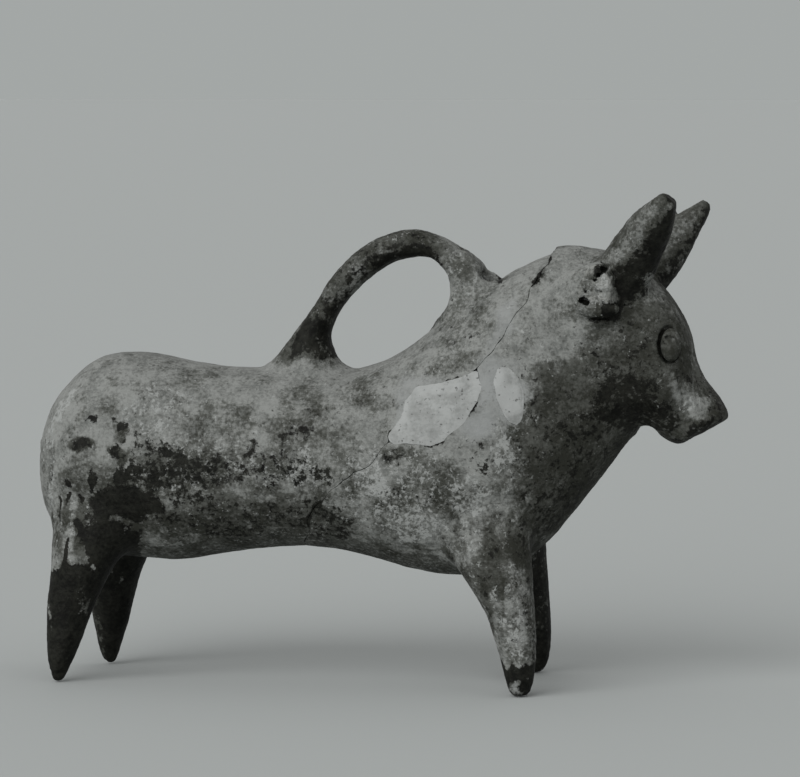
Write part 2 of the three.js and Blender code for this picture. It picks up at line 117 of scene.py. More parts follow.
# %% [markdown]
# Clay as a field of distances
# Joints smoothed by a finger are hard to make face by face. It is easier to think of clay as a volume:
# for every point in a grid of small cells we note how far it is from the surface, negative inside.
# Two lumps are pressed together by taking the smaller of their two distances, a hole is cut by taking
# the larger, and a finger-smoothed corner is a small sum added where both are near. At the end the places
# where the distance is zero become a mesh again. OpenVDB, which Blender brings along, makes the fields from
# closed meshes and the mesh from a field. We count in millimetres here, on cells of about half a millimetre.

# %% Helpers for fields
MM = 1000.0
CELL = 0.48
BAND = 12


def merged(node):
    """Corners (mm) and triangles of a copy of a plain piece, with its loose triangles joined up."""
    work = bmesh.new()
    work.from_mesh(nodes[node].data)
    bmesh.ops.remove_doubles(work, verts=work.verts, dist=1e-6)
    bmesh.ops.triangulate(work, faces=work.faces)
    work.verts.index_update()
    points = np.array([v.co for v in work.verts], np.float32) * MM
    faces = np.array([[v.index for v in face.verts] for face in work.faces], np.uint32)
    work.free()
    return points, faces


class Block:
    """A box-shaped block of grid cells of one size: where its first cell is and how many it has."""

    def __init__(self, low, high, spare, cell=CELL):
        self.cell = cell
        self.first = np.floor((np.asarray(low) - spare) / cell).astype(int)
        self.count = np.ceil((np.asarray(high) + spare) / cell).astype(int) - self.first + 1

    def grid(self):
        """The three coordinates of the cells in mm, each shaped to spread over the block."""
        axes = [(f + np.arange(n)) * self.cell for f, n in zip(self.first, self.count)]
        return np.meshgrid(*[a.astype(np.float32) for a in axes], indexing="ij", sparse=True)

    def within(self, outer):
        """The slices that cut this block out of a bigger one with the same cells."""
        start = self.first - outer.first
        return tuple(slice(s, s + n) for s, n in zip(start, self.count))

    def clipped(self, outer):
        """This block without the part that sticks out of a bigger one with the same cells."""
        start = np.maximum(self.first, outer.first)
        self.count = np.minimum(self.first + self.count, outer.first + outer.count) - start
        self.first = start
        return self

    def distance(self, points, faces, band=BAND):
        """Distance field of a closed mesh on this block, true within that many cells of its surface."""
        spacing = openvdb.createLinearTransform(voxelSize=self.cell)
        kind = "triangles" if faces.shape[1] == 3 else "quads"
        shape = {kind: np.ascontiguousarray(faces, np.uint32)}
        solid = openvdb.FloatGrid.createLevelSetFromPolygons(
            points.astype(np.float32), transform=spacing, halfWidth=band, **shape
        )
        field = np.empty(self.count, np.float32)
        solid.copyToArray(field, ijk=tuple(int(v) for v in self.first))
        return field

    def surface(self, field):
        """Corners (mm) and quads of the surface where the field is zero, with the quads facing outwards."""
        solid = openvdb.FloatGrid(self.cell * BAND)
        solid.transform = openvdb.createLinearTransform(voxelSize=self.cell)
        solid.copyFromArray(np.ascontiguousarray(field), ijk=tuple(int(v) for v in self.first))
        points, quads = solid.convertToQuads()
        a, b, c, d = (points[quads[:, i]].astype(float) for i in range(4))
        volume = np.einsum("ij,ij->i", a, np.cross(b, c) + np.cross(c, d)).sum()
        return points, quads if volume > 0 else quads[:, ::-1]


print("a cell is", CELL, "mm, and a field is true within", BAND, "cells of the surface")

# %% [markdown]
# Working clay with fields
# A few small functions do all the shaping: they soften a form, press two lumps together, carve a tool's shape
# out and read a field at any place. One big block of cells holds the whole pot, one with cells twice as long
# holds its rough form, and a tool works on a small patch of the big one.

# %% Helpers for shaping
def soften(field, steps):
    """Rounds creases: each step mixes a cell with the cells that many places away on all three axes."""
    for step in steps:
        for axis in range(3):
            near = np.roll(field, step, axis) + np.roll(field, -step, axis)
            field = field / 2 + near / 4
    return field


def press_together(a, b, fillet):
    """Two lumps of clay as one, with the corner between them smoothed over about that many mm."""
    return np.minimum(a, b) - np.maximum(fillet - np.abs(a - b), 0) ** 2 / (4 * fillet)


def carve(field, tool, edge):
    """Clay with a tool's shape taken out and the rim rounded over about that many mm."""
    return -press_together(-field, tool, edge)


def ease(value, low, high):
    """0 below low, 1 above high and a smooth change between."""
    part = np.clip((value - low) / (high - low), 0, 1)
    return part * part * (3 - 2 * part)


def ball(grid, place, radii):
    """Rough distance field of an egg shape with its axes along the grid."""
    away = sum(((g - p) / r) ** 2 for g, p, r in zip(grid, place, radii))
    return (np.sqrt(away) - 1) * min(radii)


def sample(field, block, points):
    """Values of a field at points in mm, mixed from the eight cells round each."""
    at = points / block.cell - block.first
    at = np.clip(at, 0, np.array(block.count) - 1.001)
    low = at.astype(int)
    part = (at - low).astype(np.float32)
    total = np.zeros(len(points), np.float32)
    for corner in np.ndindex(2, 2, 2):
        weight = np.prod(np.where(corner, part, 1 - part), axis=1)
        total += weight * field[tuple((low + corner).T)]
    return total


def node_box(*names):
    """Lowest and highest corner in mm of a few plain pieces together."""
    boxes = [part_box(name) for name in names]
    low = np.min([np.array(box[0]) for box in boxes], axis=0) * MM
    high = np.max([np.array(box[1]) for box in boxes], axis=0) * MM
    return low, high


SPARE = 6.5
coarse = Block(np.array(cad_low) * MM, np.array(cad_high) * MM, SPARE, cell=2 * CELL)
whole = Block(np.zeros(3), np.zeros(3), 0)
whole.first = coarse.first * 2
whole.count = coarse.count * 2 - 1


def patch_at(low, high, spare):
    """A small block of the whole one's cells, and the slices that cut it out."""
    patch = Block(low, high, spare).clipped(whole)
    return patch, patch.within(whole)


print("cells:", whole.count, "about", round(whole.count.prod() / 1e6), "million")

# %% [markdown]
# The body as one closed form
# In the plain model the body is three hollow shells with thin gaps between them and holes for the legs'
# tenons. The potter's skin runs over all of that. So we swell the shells until the gaps and holes close,
# fill what they enclose, measure the distance again from that one closed form, and shrink it back by
# the same amount. Coarse cells are enough for such smooth shapes; they are split in two afterwards.

# %% Close the body's form
FILLS = ["large_plaster_fill", "small_plaster_fill"]
BODY_NODES = ["rear_body", "front_body", "head", *FILLS]
BODY_BRIDGE, STRAP_BRIDGE = 4.5, 3.3


def filled_across(solid):
    """Every row of cells across the animal is solid from its first to its last solid cell."""
    from_right = np.logical_or.accumulate(solid, axis=1)
    from_left = np.logical_or.accumulate(solid[:, ::-1], axis=1)[:, ::-1]
    return from_right & from_left


def closed_form(block, names, bridge):
    """Field of the outer form of some plain pieces, with gaps up to twice the bridge (mm) closed."""
    field = np.full(block.count, block.cell * BAND, np.float32)
    for name in names:
        np.minimum(field, block.distance(*merged(name)), out=field)
    swollen = field - bridge
    core = filled_across(swollen < 0)
    for axis in range(3):
        core = core & np.roll(core, 2, axis) & np.roll(core, -2, axis)
        core = core & np.roll(core, 1, axis) & np.roll(core, -1, axis)
    swollen[core] = np.minimum(swollen[core], -2 * block.cell)
    return block.distance(*block.surface(swollen)) + bridge


def finer(field):
    """The same field on cells half as long."""
    for axis in range(3):
        here = np.swapaxes(field, 0, axis)
        split = np.empty((2 * len(here) - 1, *here.shape[1:]), np.float32)
        split[::2] = here
        split[1::2] = (here[:-1] + here[1:]) / 2
        field = np.swapaxes(split, 0, axis)
    return field


body_coarse = closed_form(coarse, BODY_NODES, BODY_BRIDGE)
body = soften(finer(body_coarse), [1, 2, 3])
muzzle, here = patch_at(*node_box("head"), 3)
body[here] = np.minimum(body[here], soften(muzzle.distance(*merged("head")), [1, 2]))
print("body volume, filled, in cubic cm:", round((body < 0).sum() * CELL**3 / 1000, 1))

# %% [markdown]
# Legs, handle, horns, ears and tail
# Each of these was a solid roll or strap of clay, pushed on and worked into the body with a finger. Its field
# is rounded a little, because a plain piece has flat facets and clay has none, and then pressed on with
# a fillet as wide as the finger left it: broad at the legs and the handle, narrow at the tail.

# %% Press the limbs on
LEGS = ["front_right_leg", "front_left_leg", "hind_right_leg", "hind_left_leg"]
FILLETS = {
    **dict.fromkeys(LEGS, 4.0),
    "handle": 3.6,
    "right_horn": 2.6,
    "left_horn": 2.6,
    "right_ear_stub": 1.0,
    "left_ear": 2.2,
    "tail": 0.9,
}
ROUNDING = {**dict.fromkeys(LEGS, [1, 2]), "handle": [1, 2], "tail": [1]}
TAIL_FADE = 2.2
TAIL_ROOT = (58.0, 76.0)
# how far in mm the loop and the left horn lean off the plain pieces, and the heights and places where
HANDLE_PUSH, HANDLE_PUSH_Z, HANDLE_PUSH_X = 2.0, (84, 95), (-12, 0)
HORN_PUSH, HORN_PUSH_Z = 1.4, (-115, -105)
HORN_PULL, HORN_PULL_Z = 0.4, (114, 119)


def handle_bend(x, z):
    """How far forward in mm the rear half of the loop was pushed."""
    return HANDLE_PUSH * ease(z, *HANDLE_PUSH_Z) * ease(-x, *HANDLE_PUSH_X)


def left_horn_bend(x, z):
    """The left horn's root stands further forward and its tip a little further back."""
    return HORN_PUSH * ease(-z, *HORN_PUSH_Z) - HORN_PULL * ease(z, *HORN_PULL_Z)


BENDS = {"handle": handle_bend, "left_horn": left_horn_bend}
HANDLE_SWELL = 0.2


def bent(field, block, bend):
    """The field with its clay pushed forward by as much as the bend says at each place."""
    x, y, z = (axis.ravel() for axis in np.broadcast_arrays(*block.grid()))
    push = bend(x, z)
    moved = sample(field, block, np.stack([x - push, y, z], axis=1))
    return moved.reshape(field.shape), push.reshape(field.shape)


def limb_field(name):
    """A limb's block of cells and its rounded field."""
    block = Block(*node_box(name), 5.0)
    if name == "handle":
        field = closed_form(block, [name], STRAP_BRIDGE)
    else:
        field = block.distance(*merged(name))
    field = soften(field, ROUNDING.get(name, [1, 1]))
    if name == "tail":
        field = field + TAIL_FADE * ease(block.grid()[2], *TAIL_ROOT)
    if name in BENDS:
        field, push = bent(field, block, BENDS[name])
        if name == "handle":
            field = field - HANDLE_SWELL * push
    return block, field


limbs = {name: limb_field(name) for name in FILLETS}
skin = body.copy()
for name, (block, field) in limbs.items():
    here = block.within(whole)
    skin[here] = press_together(skin[here], field, FILLETS[name])

# lumps of clay worked in beside the limbs: place in mm, radii, and how far they are smoothed in
LUMPS = [
    ((53.4, -14.0, 96.5), (4.6, 3.6, 7.5), 4.0),
    ((22.6, 0.0, 102.6), (4.2, 6.0, 5.2), 1.2),
    ((27.2, 0.0, 98.6), (4.0, 5.6, 4.3), 1.2),
    ((57.0, -18.9, 94.4), (5.2, 2.7, 2.4), 0.6),
    ((58.4, -17.4, 99.2), (2.3, 2.2, 3.4), 0.7),
    ((55.6, -16.6, 101.0), (1.8, 1.8, 2.0), 0.7),
    ((83.6, 0.0, 67.0), (3.0, 5.6, 2.1), 1.2),
    ((79.2, 0.0, 65.9), (4.9, 6.8, 3.7), 1.5),
    ((75.6, 0.0, 63.2), (3.2, 5.5, 2.45), 1.2),
]
for place, radii, fillet in LUMPS:
    patch, here = patch_at(place, place, max(radii) + 6)
    skin[here] = press_together(skin[here], ball(patch.grid(), place, radii), fillet)
print("limbs pressed on:", len(limbs))

# %% [markdown]
# Where one piece ends and the next begins
# The finished skin is one unbroken surface, but the pieces stay separate objects, as they were on
# the potter's bench. Each bit of clay goes to the plain piece that it is nearest to. Half the difference of
# two distances is zero midway between two pieces, so it gives the seam, and the same field tells us
# where the old break runs. A limb also takes the fillet at its foot with it. The body's distances get a slow
# random ripple, so the break wanders as a break in clay does.

# %% Share the clay out
REACH = {**dict.fromkeys(LEGS, 3.0), "handle": 2.6, "right_horn": 2.0, "left_horn": 2.0}
REACH |= {"right_ear_stub": 1.4, "left_ear": 1.7, "tail": 0.6}
WIDE = 34
rng = np.random.default_rng(7)


def ripple(block, wave):
    """Smooth random field on a block, about one unit strong, with bumps that many mm apart on each axis."""
    wave = np.broadcast_to(wave, 3)
    knots = np.ceil(block.count * block.cell / wave).astype(int) + 2
    field = rng.normal(0, 1, knots).astype(np.float32)
    for axis in range(3):
        at = np.arange(block.count[axis]) * block.cell / wave[axis]
        low = at.astype(int)
        part = at - low
        shape = [1, 1, 1]
        shape[axis] = -1
        part = (part * part * (3 - 2 * part)).astype(np.float32).reshape(shape)
        field = np.take(field, low, axis) * (1 - part) + np.take(field, low + 1, axis) * part
    return field


def nearer(name, distances):
    """Field that is negative where this piece is the nearest, and zero midway to the next nearest."""
    others = [far for key, far in distances.items() if key != name]
    return (distances[name] - np.minimum.reduce(others)) / 2


def waves(layers):
    """Ripples on top of each other, each with its height and its length in mm."""
    return sum(height * ripple(coarse, length) for height, length in layers)


WANDER = [(0.4, 4.1), (0.2, 2.2)]
FILL_WANDER = [(0.32, 2.0)]
OVERLAP = 0.03
FILL_GAP, FILL_GAP_LENGTH, FILL_GAP_START = 0.10, 3.0, (0.0, 0.6)
limb_far = {name: coarse.distance(*merged(name)) for name in FILLETS}
body_far = {name: coarse.distance(*merged(name), band=WIDE) for name in BODY_NODES}
wander = waves(WANDER)
body_far["rear_body"] += wander
body_far["front_body"] -= wander
for name in FILLS:
    body_far[name] += waves(FILL_WANDER)
regions = {name: np.maximum(far - REACH[name], nearer(name, limb_far)) for name, far in limb_far.items()}
limb_regions = np.minimum.reduce(list(regions.values()))
regions |= {name: nearer(name, body_far) for name in BODY_NODES}
ahead = (body_far["rear_body"] - body_far["front_body"]) / 2
for name in ("head", *FILLS, *REACH):
    regions[name] -= OVERLAP
for name in FILLS:
    regions[name] += FILL_GAP * ease(ripple(coarse, FILL_GAP_LENGTH), *FILL_GAP_START)
print("pieces to cut:", len(regions))

# %% [markdown]
# The old break and other marks
# The pot broke through the shoulder and was put together again. On the outside the break is a fine dark
# line with small chips along it, and at the back of the neck the front part stands a good millimetre proud.
# Other marks were pressed into the wet clay or knocked off later: the hollows and pits in the broken ear, the
# notch behind the strap, the flat cuts at the horn tips and under the muzzle, the inner side of the loop.
# Each is a small tool shape taken out of the field of the skin, at a place in mm read off the real pot.

# %% Mark the skin
BREAK_GAP = 0.1
STEP_HEIGHT = 0.95
REAR_DROP = 0.4
NAPE_DROP = 0.6
NAPE_Z, NAPE_START_X, NAPE_END_X = (101, 105), (33, 36.5), (-58, -52)
STEP_LENGTH = 9.0
STEP_FOOT, STEP_TOP = 97.0, 106.0
CHIP_WIDTH, CHIP_DEPTH, CHIP_SPACING, CHIP_EDGE = 0.4, 0.4, 1.6, 0.25
CHIP_START = (0.3, 1.6)
FILL_CHIPS = 0.7
x, y, z = whole.grid()
ahead_fine = finer(ahead)
near_break = ease(-np.abs(ahead_fine), -STEP_LENGTH, 0)
step = np.where(ahead_fine > 0, STEP_HEIGHT, -REAR_DROP).astype(np.float32)
skin -= step * near_break * ease(z, STEP_FOOT, STEP_TOP)
skin += NAPE_DROP * ease(z, *NAPE_Z) * ease(x, *NAPE_START_X) * ease(-x, *NAPE_END_X)
fill_edges = finer(np.abs(np.minimum(*(regions[name] for name in FILLS))))
chips = ease(ripple(whole, CHIP_SPACING), *CHIP_START)
chipped = np.minimum(np.abs(ahead_fine) - CHIP_WIDTH * chips, fill_edges - FILL_CHIPS * CHIP_WIDTH * chips)
skin = carve(skin, np.maximum(chipped, -skin - CHIP_DEPTH), CHIP_EDGE)
del ahead_fine, near_break, step, fill_edges, chips, chipped

HOLLOW_EDGE = 0.3
# place in mm and radii of the hollows knocked or pressed into the clay
HOLLOWS = [
    ((42.5, -11.6, 101.8), (0.75, 1.6, 0.75)),
    ((41.4, -12.4, 100.1), (0.9, 1.3, 0.5)),
    ((40.7, -12.9, 99.2), (0.6, 1.2, 0.4)),
    ((43.6, -2.0, 107.4), (0.6, 4.0, 1.2)),
    ((53.2, -18.0, 96.4), (0.9, 2.6, 0.6)),
    ((54.3, -18.6, 95.7), (0.9, 2.6, 0.7)),
    ((55.3, -19.0, 95.1), (0.6, 2.0, 0.4)),
    ((58.7, -15.6, 104.4), (0.8, 2.0, 0.8)),
    ((57.8, -15.9, 103.4), (1.0, 2.2, 1.1)),
    ((57.0, -16.6, 102.3), (0.9, 2.0, 0.9)),
    ((56.2, -17.2, 101.3), (0.7, 1.6, 0.6)),
    ((59.7, -17.6, 102.4), (0.5, 1.6, 0.9)),
    ((61.0, -17.4, 100.6), (0.8, 2.2, 1.2)),
    ((60.9, -17.8, 97.6), (0.6, 1.6, 0.5)),
    ((57.3, -19.4, 98.4), (0.9, 1.4, 0.5)),
    ((60.3, -19.0, 95.7), (0.7, 1.3, 0.7)),
    ((53.9, -17.6, 98.6), (0.35, 1.4, 0.35)),
    ((58.4, -17.6, 91.6), (4.0, 2.2, 0.7)),
    ((30.3, 0.0, 103.0), (1.6, 7.0, 2.6)),
    ((28.6, -4.6, 101.8), (3.0, 2.6, 1.9)),
    ((67.2, 0.0, 62.6), (3.0, 14.0, 2.9)),
    ((78.2, -8.9, 70.1), (0.7, 1.0, 0.5)),
    ((77.2, -9.2, 77.6), (0.6, 0.9, 0.5)),
]
for place, radii in HOLLOWS:
    patch, here = patch_at(place, place, max(radii) + 1)
    skin[here] = carve(skin[here], ball(patch.grid(), place, radii), HOLLOW_EDGE)
# flat facets: a place in mm on the facet, the direction that it faces, how far it reaches and its edge
FACETS = [
    ((73.8, -17.5, 121.2), (0.6, 0.0, 0.8), (5, 6, 4), 0.8),
    ((70.8, -17.5, 121.2), (-0.541, 0.0, 0.841), (7, 6, 5), 1.0),
    ((75.2, -17.5, 118.6), (0.985, 0.0, -0.173), (3, 6, 5), 0.8),
    ((77.6, 14.5, 119.0), (-0.5, 0.0, 0.866), (5, 6, 4), 0.8),
    ((79.1, 15.0, 114.0), (0.916, 0.0, -0.402), (8, 7, 12), 0.8),
    ((25.9, 0.0, 104.0), (0.646, 0.0, 0.763), (4.2, 8, 6), 0.3),
    ((81.6, 0.0, 63.8), (0.507, 0.0, -0.862), (6, 11, 6), 0.5),
    ((75.6, 0.0, 91.2), (0.894, 0.0, 0.447), (4, 9, 6), 1.2),
]
for place, facing, reach, edge in FACETS:
    patch, here = patch_at(np.subtract(place, reach), np.add(place, reach), 0)
    beyond = sum((p - g) * f for g, p, f in zip(patch.grid(), place, facing))
    skin[here] = carve(skin[here], beyond, edge)
# the loop's front half is hollowed out further than the plain strap
LOOP_MIDDLE, LOOP_RADII, LOOP_EDGE = (11.3, 97.7), (7.3, 8.2), 0.5
LOOP_BOX = (2.0, -9.0, 88.0), (21.0, 9.0, 108.0)
patch, here = patch_at(*LOOP_BOX, 0)
px, py, pz = patch.grid()
loop = np.hypot((px - LOOP_MIDDLE[0]) / LOOP_RADII[0], (pz - LOOP_MIDDLE[1]) / LOOP_RADII[1])
loop = (loop - 1) * LOOP_RADII[0]
skin[here] = carve(skin[here], loop + 0 * py, LOOP_EDGE)
print("hollows:", len(HOLLOWS), "facets:", len(FACETS))

# %% [markdown]
# The two holes
# A bull vessel is filled through a hole at the nape and poured through the muzzle. The potter poked both
# through the soft clay with a stick. Each is a round rod here, taken out of the field of the skin. The
# filling hole leans forward as it rises, like the root of the strap that it goes through.

# %% Drill the holes
FILLING_HOLE = dict(mouth=(27.6, 0.0, 101.5), radii=(3.1, 2.9), lean=0.25, depth=(-17.0, 9.0))
HOLE_EDGE = 0.5
POURING_HOLE = dict(mouth=(78.55, 0.0, 63.0), radii=(2.95, 2.95), lean=0.0, depth=(-9.0, 7.0))


def drill(field, mouth, radii, lean, depth):
    """Takes a round hole out of the skin, leaning forward as it rises, with its rim rubbed round."""
    patch, here = patch_at(mouth, mouth, max(np.abs(depth)) + 3)
    px, py, pz = (g - m for g, m in zip(patch.grid(), mouth))
    across = (np.hypot((px - lean * pz) / radii[0], py / radii[1]) - 1) * min(radii)
    hole = np.maximum(across, np.maximum(depth[0] - pz, pz - depth[1]))
    field[here] = carve(field[here], hole, HOLE_EDGE)


drill(skin, **FILLING_HOLE)
drill(skin, **POURING_HOLE)
print("holes drilled")

# %% [markdown]
# The eyes
# Each eye is a pellet of clay pressed into a shallow socket, with a pin-prick in it. The edge of the socket
# shows as a dark groove, wider behind the pellet than in front. The socket is the plain pellet a little
# bigger and one cell further back, no deeper than its foot. The pellet is its own piece on cells less than
# half as long, so that the pin-prick comes out sharp.

# %% Press the eyes in
EYE_GROWTH = 0.25
SOCKET_GAP = 0.8
SOCKET_DEPTH = 1.4
SOCKET_EDGE, PRICK_EDGE = 0.2, 0.15
PRICK = (-0.8, 1.9)
PRICK_OUT = 0.36
PRICK_RADII = (0.5, 1.1, 0.5)
EYE_CELL = 0.2
SOCKET_MARGIN, EYE_MARGIN = 3, 1.5
eye_meshes = {}
for name, side in (("right_eye", -1), ("left_eye", 1)):
    low, high = node_box(name)
    patch, here = patch_at(low, high, SOCKET_MARGIN)
    pellet = patch.distance(*merged(name))
    socket = np.maximum(np.roll(pellet, -1, axis=0) - SOCKET_GAP, -skin[here] - SOCKET_DEPTH)
    skin[here] = carve(skin[here], socket, SOCKET_EDGE)
    close = Block(low, high, EYE_MARGIN, cell=EYE_CELL)
    pellet = soften(close.distance(*merged(name)), [1, 2, 1]) - EYE_GROWTH
    middle = (low + high) / 2
    prick = middle + (PRICK[0], side * (high[1] - low[1]) * PRICK_OUT, PRICK[1])
    pellet = carve(pellet, ball(close.grid(), prick, PRICK_RADII), PRICK_EDGE)
    eye_meshes[name] = close.surface(pellet)
print("eye faces:", [len(faces) for _, faces in eye_meshes.values()])

# %% [markdown]
# From a field to a mesh
# All the shapes that the potter gave the clay are in the field now, so it becomes a mesh here, once. What
# follows works on its corners. They are about half a millimetre apart, close enough for a finger's marks.

# %% Make the skin mesh
def mesh_object(name, points, faces):
    """A new Blender mesh object from corners in mm."""
    mesh = bpy.data.meshes.new(name)
    mesh.from_pydata(points / MM, [], faces.tolist())
    mesh.update()
    piece = bpy.data.objects.new(name, mesh)
    bpy.context.collection.objects.link(piece)
    return piece


skin_mesh = whole.surface(skin)
skin_object = mesh_object("skin", *skin_mesh)
print("skin faces:", len(skin_object.data.polygons))

# %% [markdown]
# The potter's hand
# Seen close up the surface is never true: fingers leave shallow hills a centimetre across, smaller lumps
# between, fine burnishing strokes along the body, and small pits where grit fell out or the clay
# weathered. These repeat over the whole surface, so a Geometry Nodes tree makes them: it moves each
# point of the skin along its normal by a sum of noises. Each noise has its size and height as a named input
# of the tree and a fixed seed. A point attribute says where the clay is rough, such as on the broken ear
# and the horns, and where it is plaster, which was scraped smooth.

# %% Say where the clay is rough
ROUGHNESS = {"right_ear_stub": 1.25, "right_horn": 0.3, "left_horn": 0.3, "left_ear": 0.2, "handle": 0.15}
SMOOTH_CLAY = 0.06
LIMB_ROUGH_EDGE, PLASTER_EDGE = (-2.0, 0.4), (-0.4, 0.4)
PLACE_MIDDLE = 0.3
ROUGH_PLACES = [
    ((80.0, -8.0, 69.0), 8.0, 0.45),
    ((46.0, -14.0, 94.0), 13.0, 0.3),
    ((40.0, 14.0, 92.0), 15.0, 0.25),
]


def store(mesh, name, values):
    """Keeps a number for each corner of a mesh as a named attribute."""
    mesh.attributes.new(name, "FLOAT", "POINT").data.foreach_set("value", values.astype(np.float32))


def roughness_at(points):
    """0 where a finger smoothed the clay, 1 where it is broken."""
    rough = np.full(len(points), SMOOTH_CLAY, np.float32)
    for name, power in ROUGHNESS.items():
        rough = np.maximum(rough, power * ease(-sample(limb_far[name], coarse, points), *LIMB_ROUGH_EDGE))
    for place, radius, power in ROUGH_PLACES:
        away = np.linalg.norm(points - np.array(place), axis=1)
        rough = np.maximum(rough, power * ease(-away, -radius, -PLACE_MIDDLE * radius))
    return rough


def plaster_at(points):
    """1 on the plaster fills and 0 beside them."""
    fills = np.minimum(*(regions[name] for name in FILLS))
    return ease(-sample(fills, coarse, points), *PLASTER_EDGE)


store(skin_object.data, "rough", roughness_at(skin_mesh[0]))
store(skin_object.data, "plaster", plaster_at(skin_mesh[0]))
print("roughness stored on", len(skin_mesh[0]), "corners")

# %% [markdown]
# Building node trees in code
# Geometry trees and material trees are made the same way: add a node, set its options, and give each input
# a number or the output of another node. One short helper does that, and a few more name the steps that come
# up again and again, so a tree reads like a recipe.

# %% Helpers for node trees
def add(tree, kind, inputs=(), **settings):
    """Adds a node, sets its options, and fills its inputs with numbers or links them to outputs."""
    node = tree.nodes.new(kind)
    for key, value in settings.items():
        setattr(node, key, value)
    for key, value in dict(inputs).items():
        if isinstance(value, bpy.types.NodeSocket):
            tree.links.new(value, node.inputs[key])
        else:
            node.inputs[key].default_value = value
    return node


def sums(tree):
    """Functions that add sums on numbers to a tree: the first five have one node each.

    The last turns noise from 0 to 1 into a swing about 0, as wide as its second number.
    """

    def calculate(operation):
        def node(*values):
            return add(tree, "ShaderNodeMath", enumerate(values), operation=operation).outputs[0]

        return node

    names = ("ADD", "SUBTRACT", "MULTIPLY", "MULTIPLY_ADD", "LESS_THAN")
    plus, minus, times, mix, less = (calculate(name) for name in names)
    return plus, minus, times, mix, less, lambda value, width: mix(value, width, -width / 2)


def one_over(tree, size):
    """One divided by a size, which is a number or the output of a node."""
    if isinstance(size, float):
        return 1 / size
    return add(tree, "ShaderNodeMath", {0: 1.0, 1: size}, operation="DIVIDE").outputs[0]


def scaled(tree, vector, factor):
    """A place or a direction times a number."""
    return add(tree, "ShaderNodeVectorMath", {0: vector, "Scale": factor}, operation="SCALE").outputs[0]


def stretched(tree, vector, factors):
    """The same place with its axes scaled, so that patterns get longer along the small ones."""
    return add(tree, "ShaderNodeVectorMath", {0: vector, 1: factors}, operation="MULTIPLY").outputs[0]


def noise(tree, vector, size, detail, seed, roughness=0.6):
    """Noise with bumps of a size in mm, about 0.5 in the middle."""
    scale = one_over(tree, size)
    inputs = {"Vector": vector, "W": seed, "Scale": scale, "Detail": detail, "Roughness": roughness}
    return add(tree, "ShaderNodeTexNoise", inputs, noise_dimensions="4D").outputs[0]


def step_between(tree, value, low, high, out_low=0.0, out_high=1.0):
    """A smooth step from one value to another as the input goes from low to high."""
    inputs = {"Value": value, "From Min": low, "From Max": high, "To Min": out_low, "To Max": out_high}
    return add(tree, "ShaderNodeMapRange", inputs, interpolation_type="SMOOTHSTEP").outputs["Result"]


def blend(tree, share, first, second):
    """A colour mixed from two by a share."""
    return add(tree, "ShaderNodeMix", {0: share, 6: first, 7: second}, data_type="RGBA").outputs[2]


print("helpers for node trees:", ", ".join(helper.__name__ for helper in (add, sums, noise, blend)))

# %% [markdown]
# The tree that makes the relief
# The sum has five parts: hills, lumps, burnishing strokes, the broken clay and the pits. Strokes come from
# the same kind of noise as lumps, squeezed on one axis so that they run along the body. Pits come from a
# Voronoi pattern: each of its cells has one middle to measure from, and a lottery picks the few that hold
# a pit. Every noise takes its own place along the fourth axis, counted on from the seed.

# %% Build the relief tree
relief = bpy.data.node_groups.new("potter's hand", "GeometryNodeTree")
RELIEF_INPUTS = {
    "Hill height": 0.2, "Hill size": 12.0,
    "Lump height": 0.08, "Lump size": 3.6,
    "Stroke height": 0.05, "Stroke width": 1.1,
    "Broken height": 0.7, "Broken size": 2.0,
    "Pit depth": 0.45, "Pit spacing": 2.4,
    "Seed": 4.0,
}
RELIEF_CRISPNESS = 0.55
STROKE_STRETCH = (0.12, 1.0, 1.0)
PLASTER_RELIEF = 0.5
# parts of the pit spacing: the smallest pit, how much bigger the biggest is, and where its floor is level
PIT_SIZE, PIT_SPREAD, PIT_FLOOR = 0.18, 0.16, 0.04
# the share of cells with a pit on smooth clay, and how much that grows where it is rough
PIT_SHARE, PIT_GROWTH = 0.03, 0.75
relief.interface.new_socket("Geometry", in_out="INPUT", socket_type="NodeSocketGeometry")
relief.interface.new_socket("Clay", in_out="INPUT", socket_type="NodeSocketMaterial")
for label, value in RELIEF_INPUTS.items():
    relief.interface.new_socket(label, in_out="INPUT", socket_type="NodeSocketFloat").default_value = value
relief.interface.new_socket("Geometry", in_out="OUTPUT", socket_type="NodeSocketGeometry")
plus, minus, times, mix, less, swing = sums(relief)
start = add(relief, "NodeGroupInput").outputs
place = scaled(relief, add(relief, "GeometryNodeInputPosition").outputs[0], MM)
along = stretched(relief, place, STROKE_STRETCH)


def relief_noise(part, width, detail, offset, vector=place):
    """Noise from about -1 to 1, as wide and as high as the tree's inputs for this part say."""
    seed = plus(start["Seed"], offset)
    values = noise(relief, vector, start[f"{part} {width}"], detail, seed, RELIEF_CRISPNESS)
    return times(swing(values, 4.0), start[f"{part} height"])


def stored_number(label):
    """A number stored on the corners of the mesh."""
    node = add(relief, "GeometryNodeInputNamedAttribute", {"Name": label}, data_type="FLOAT")
    return node.outputs["Attribute"]


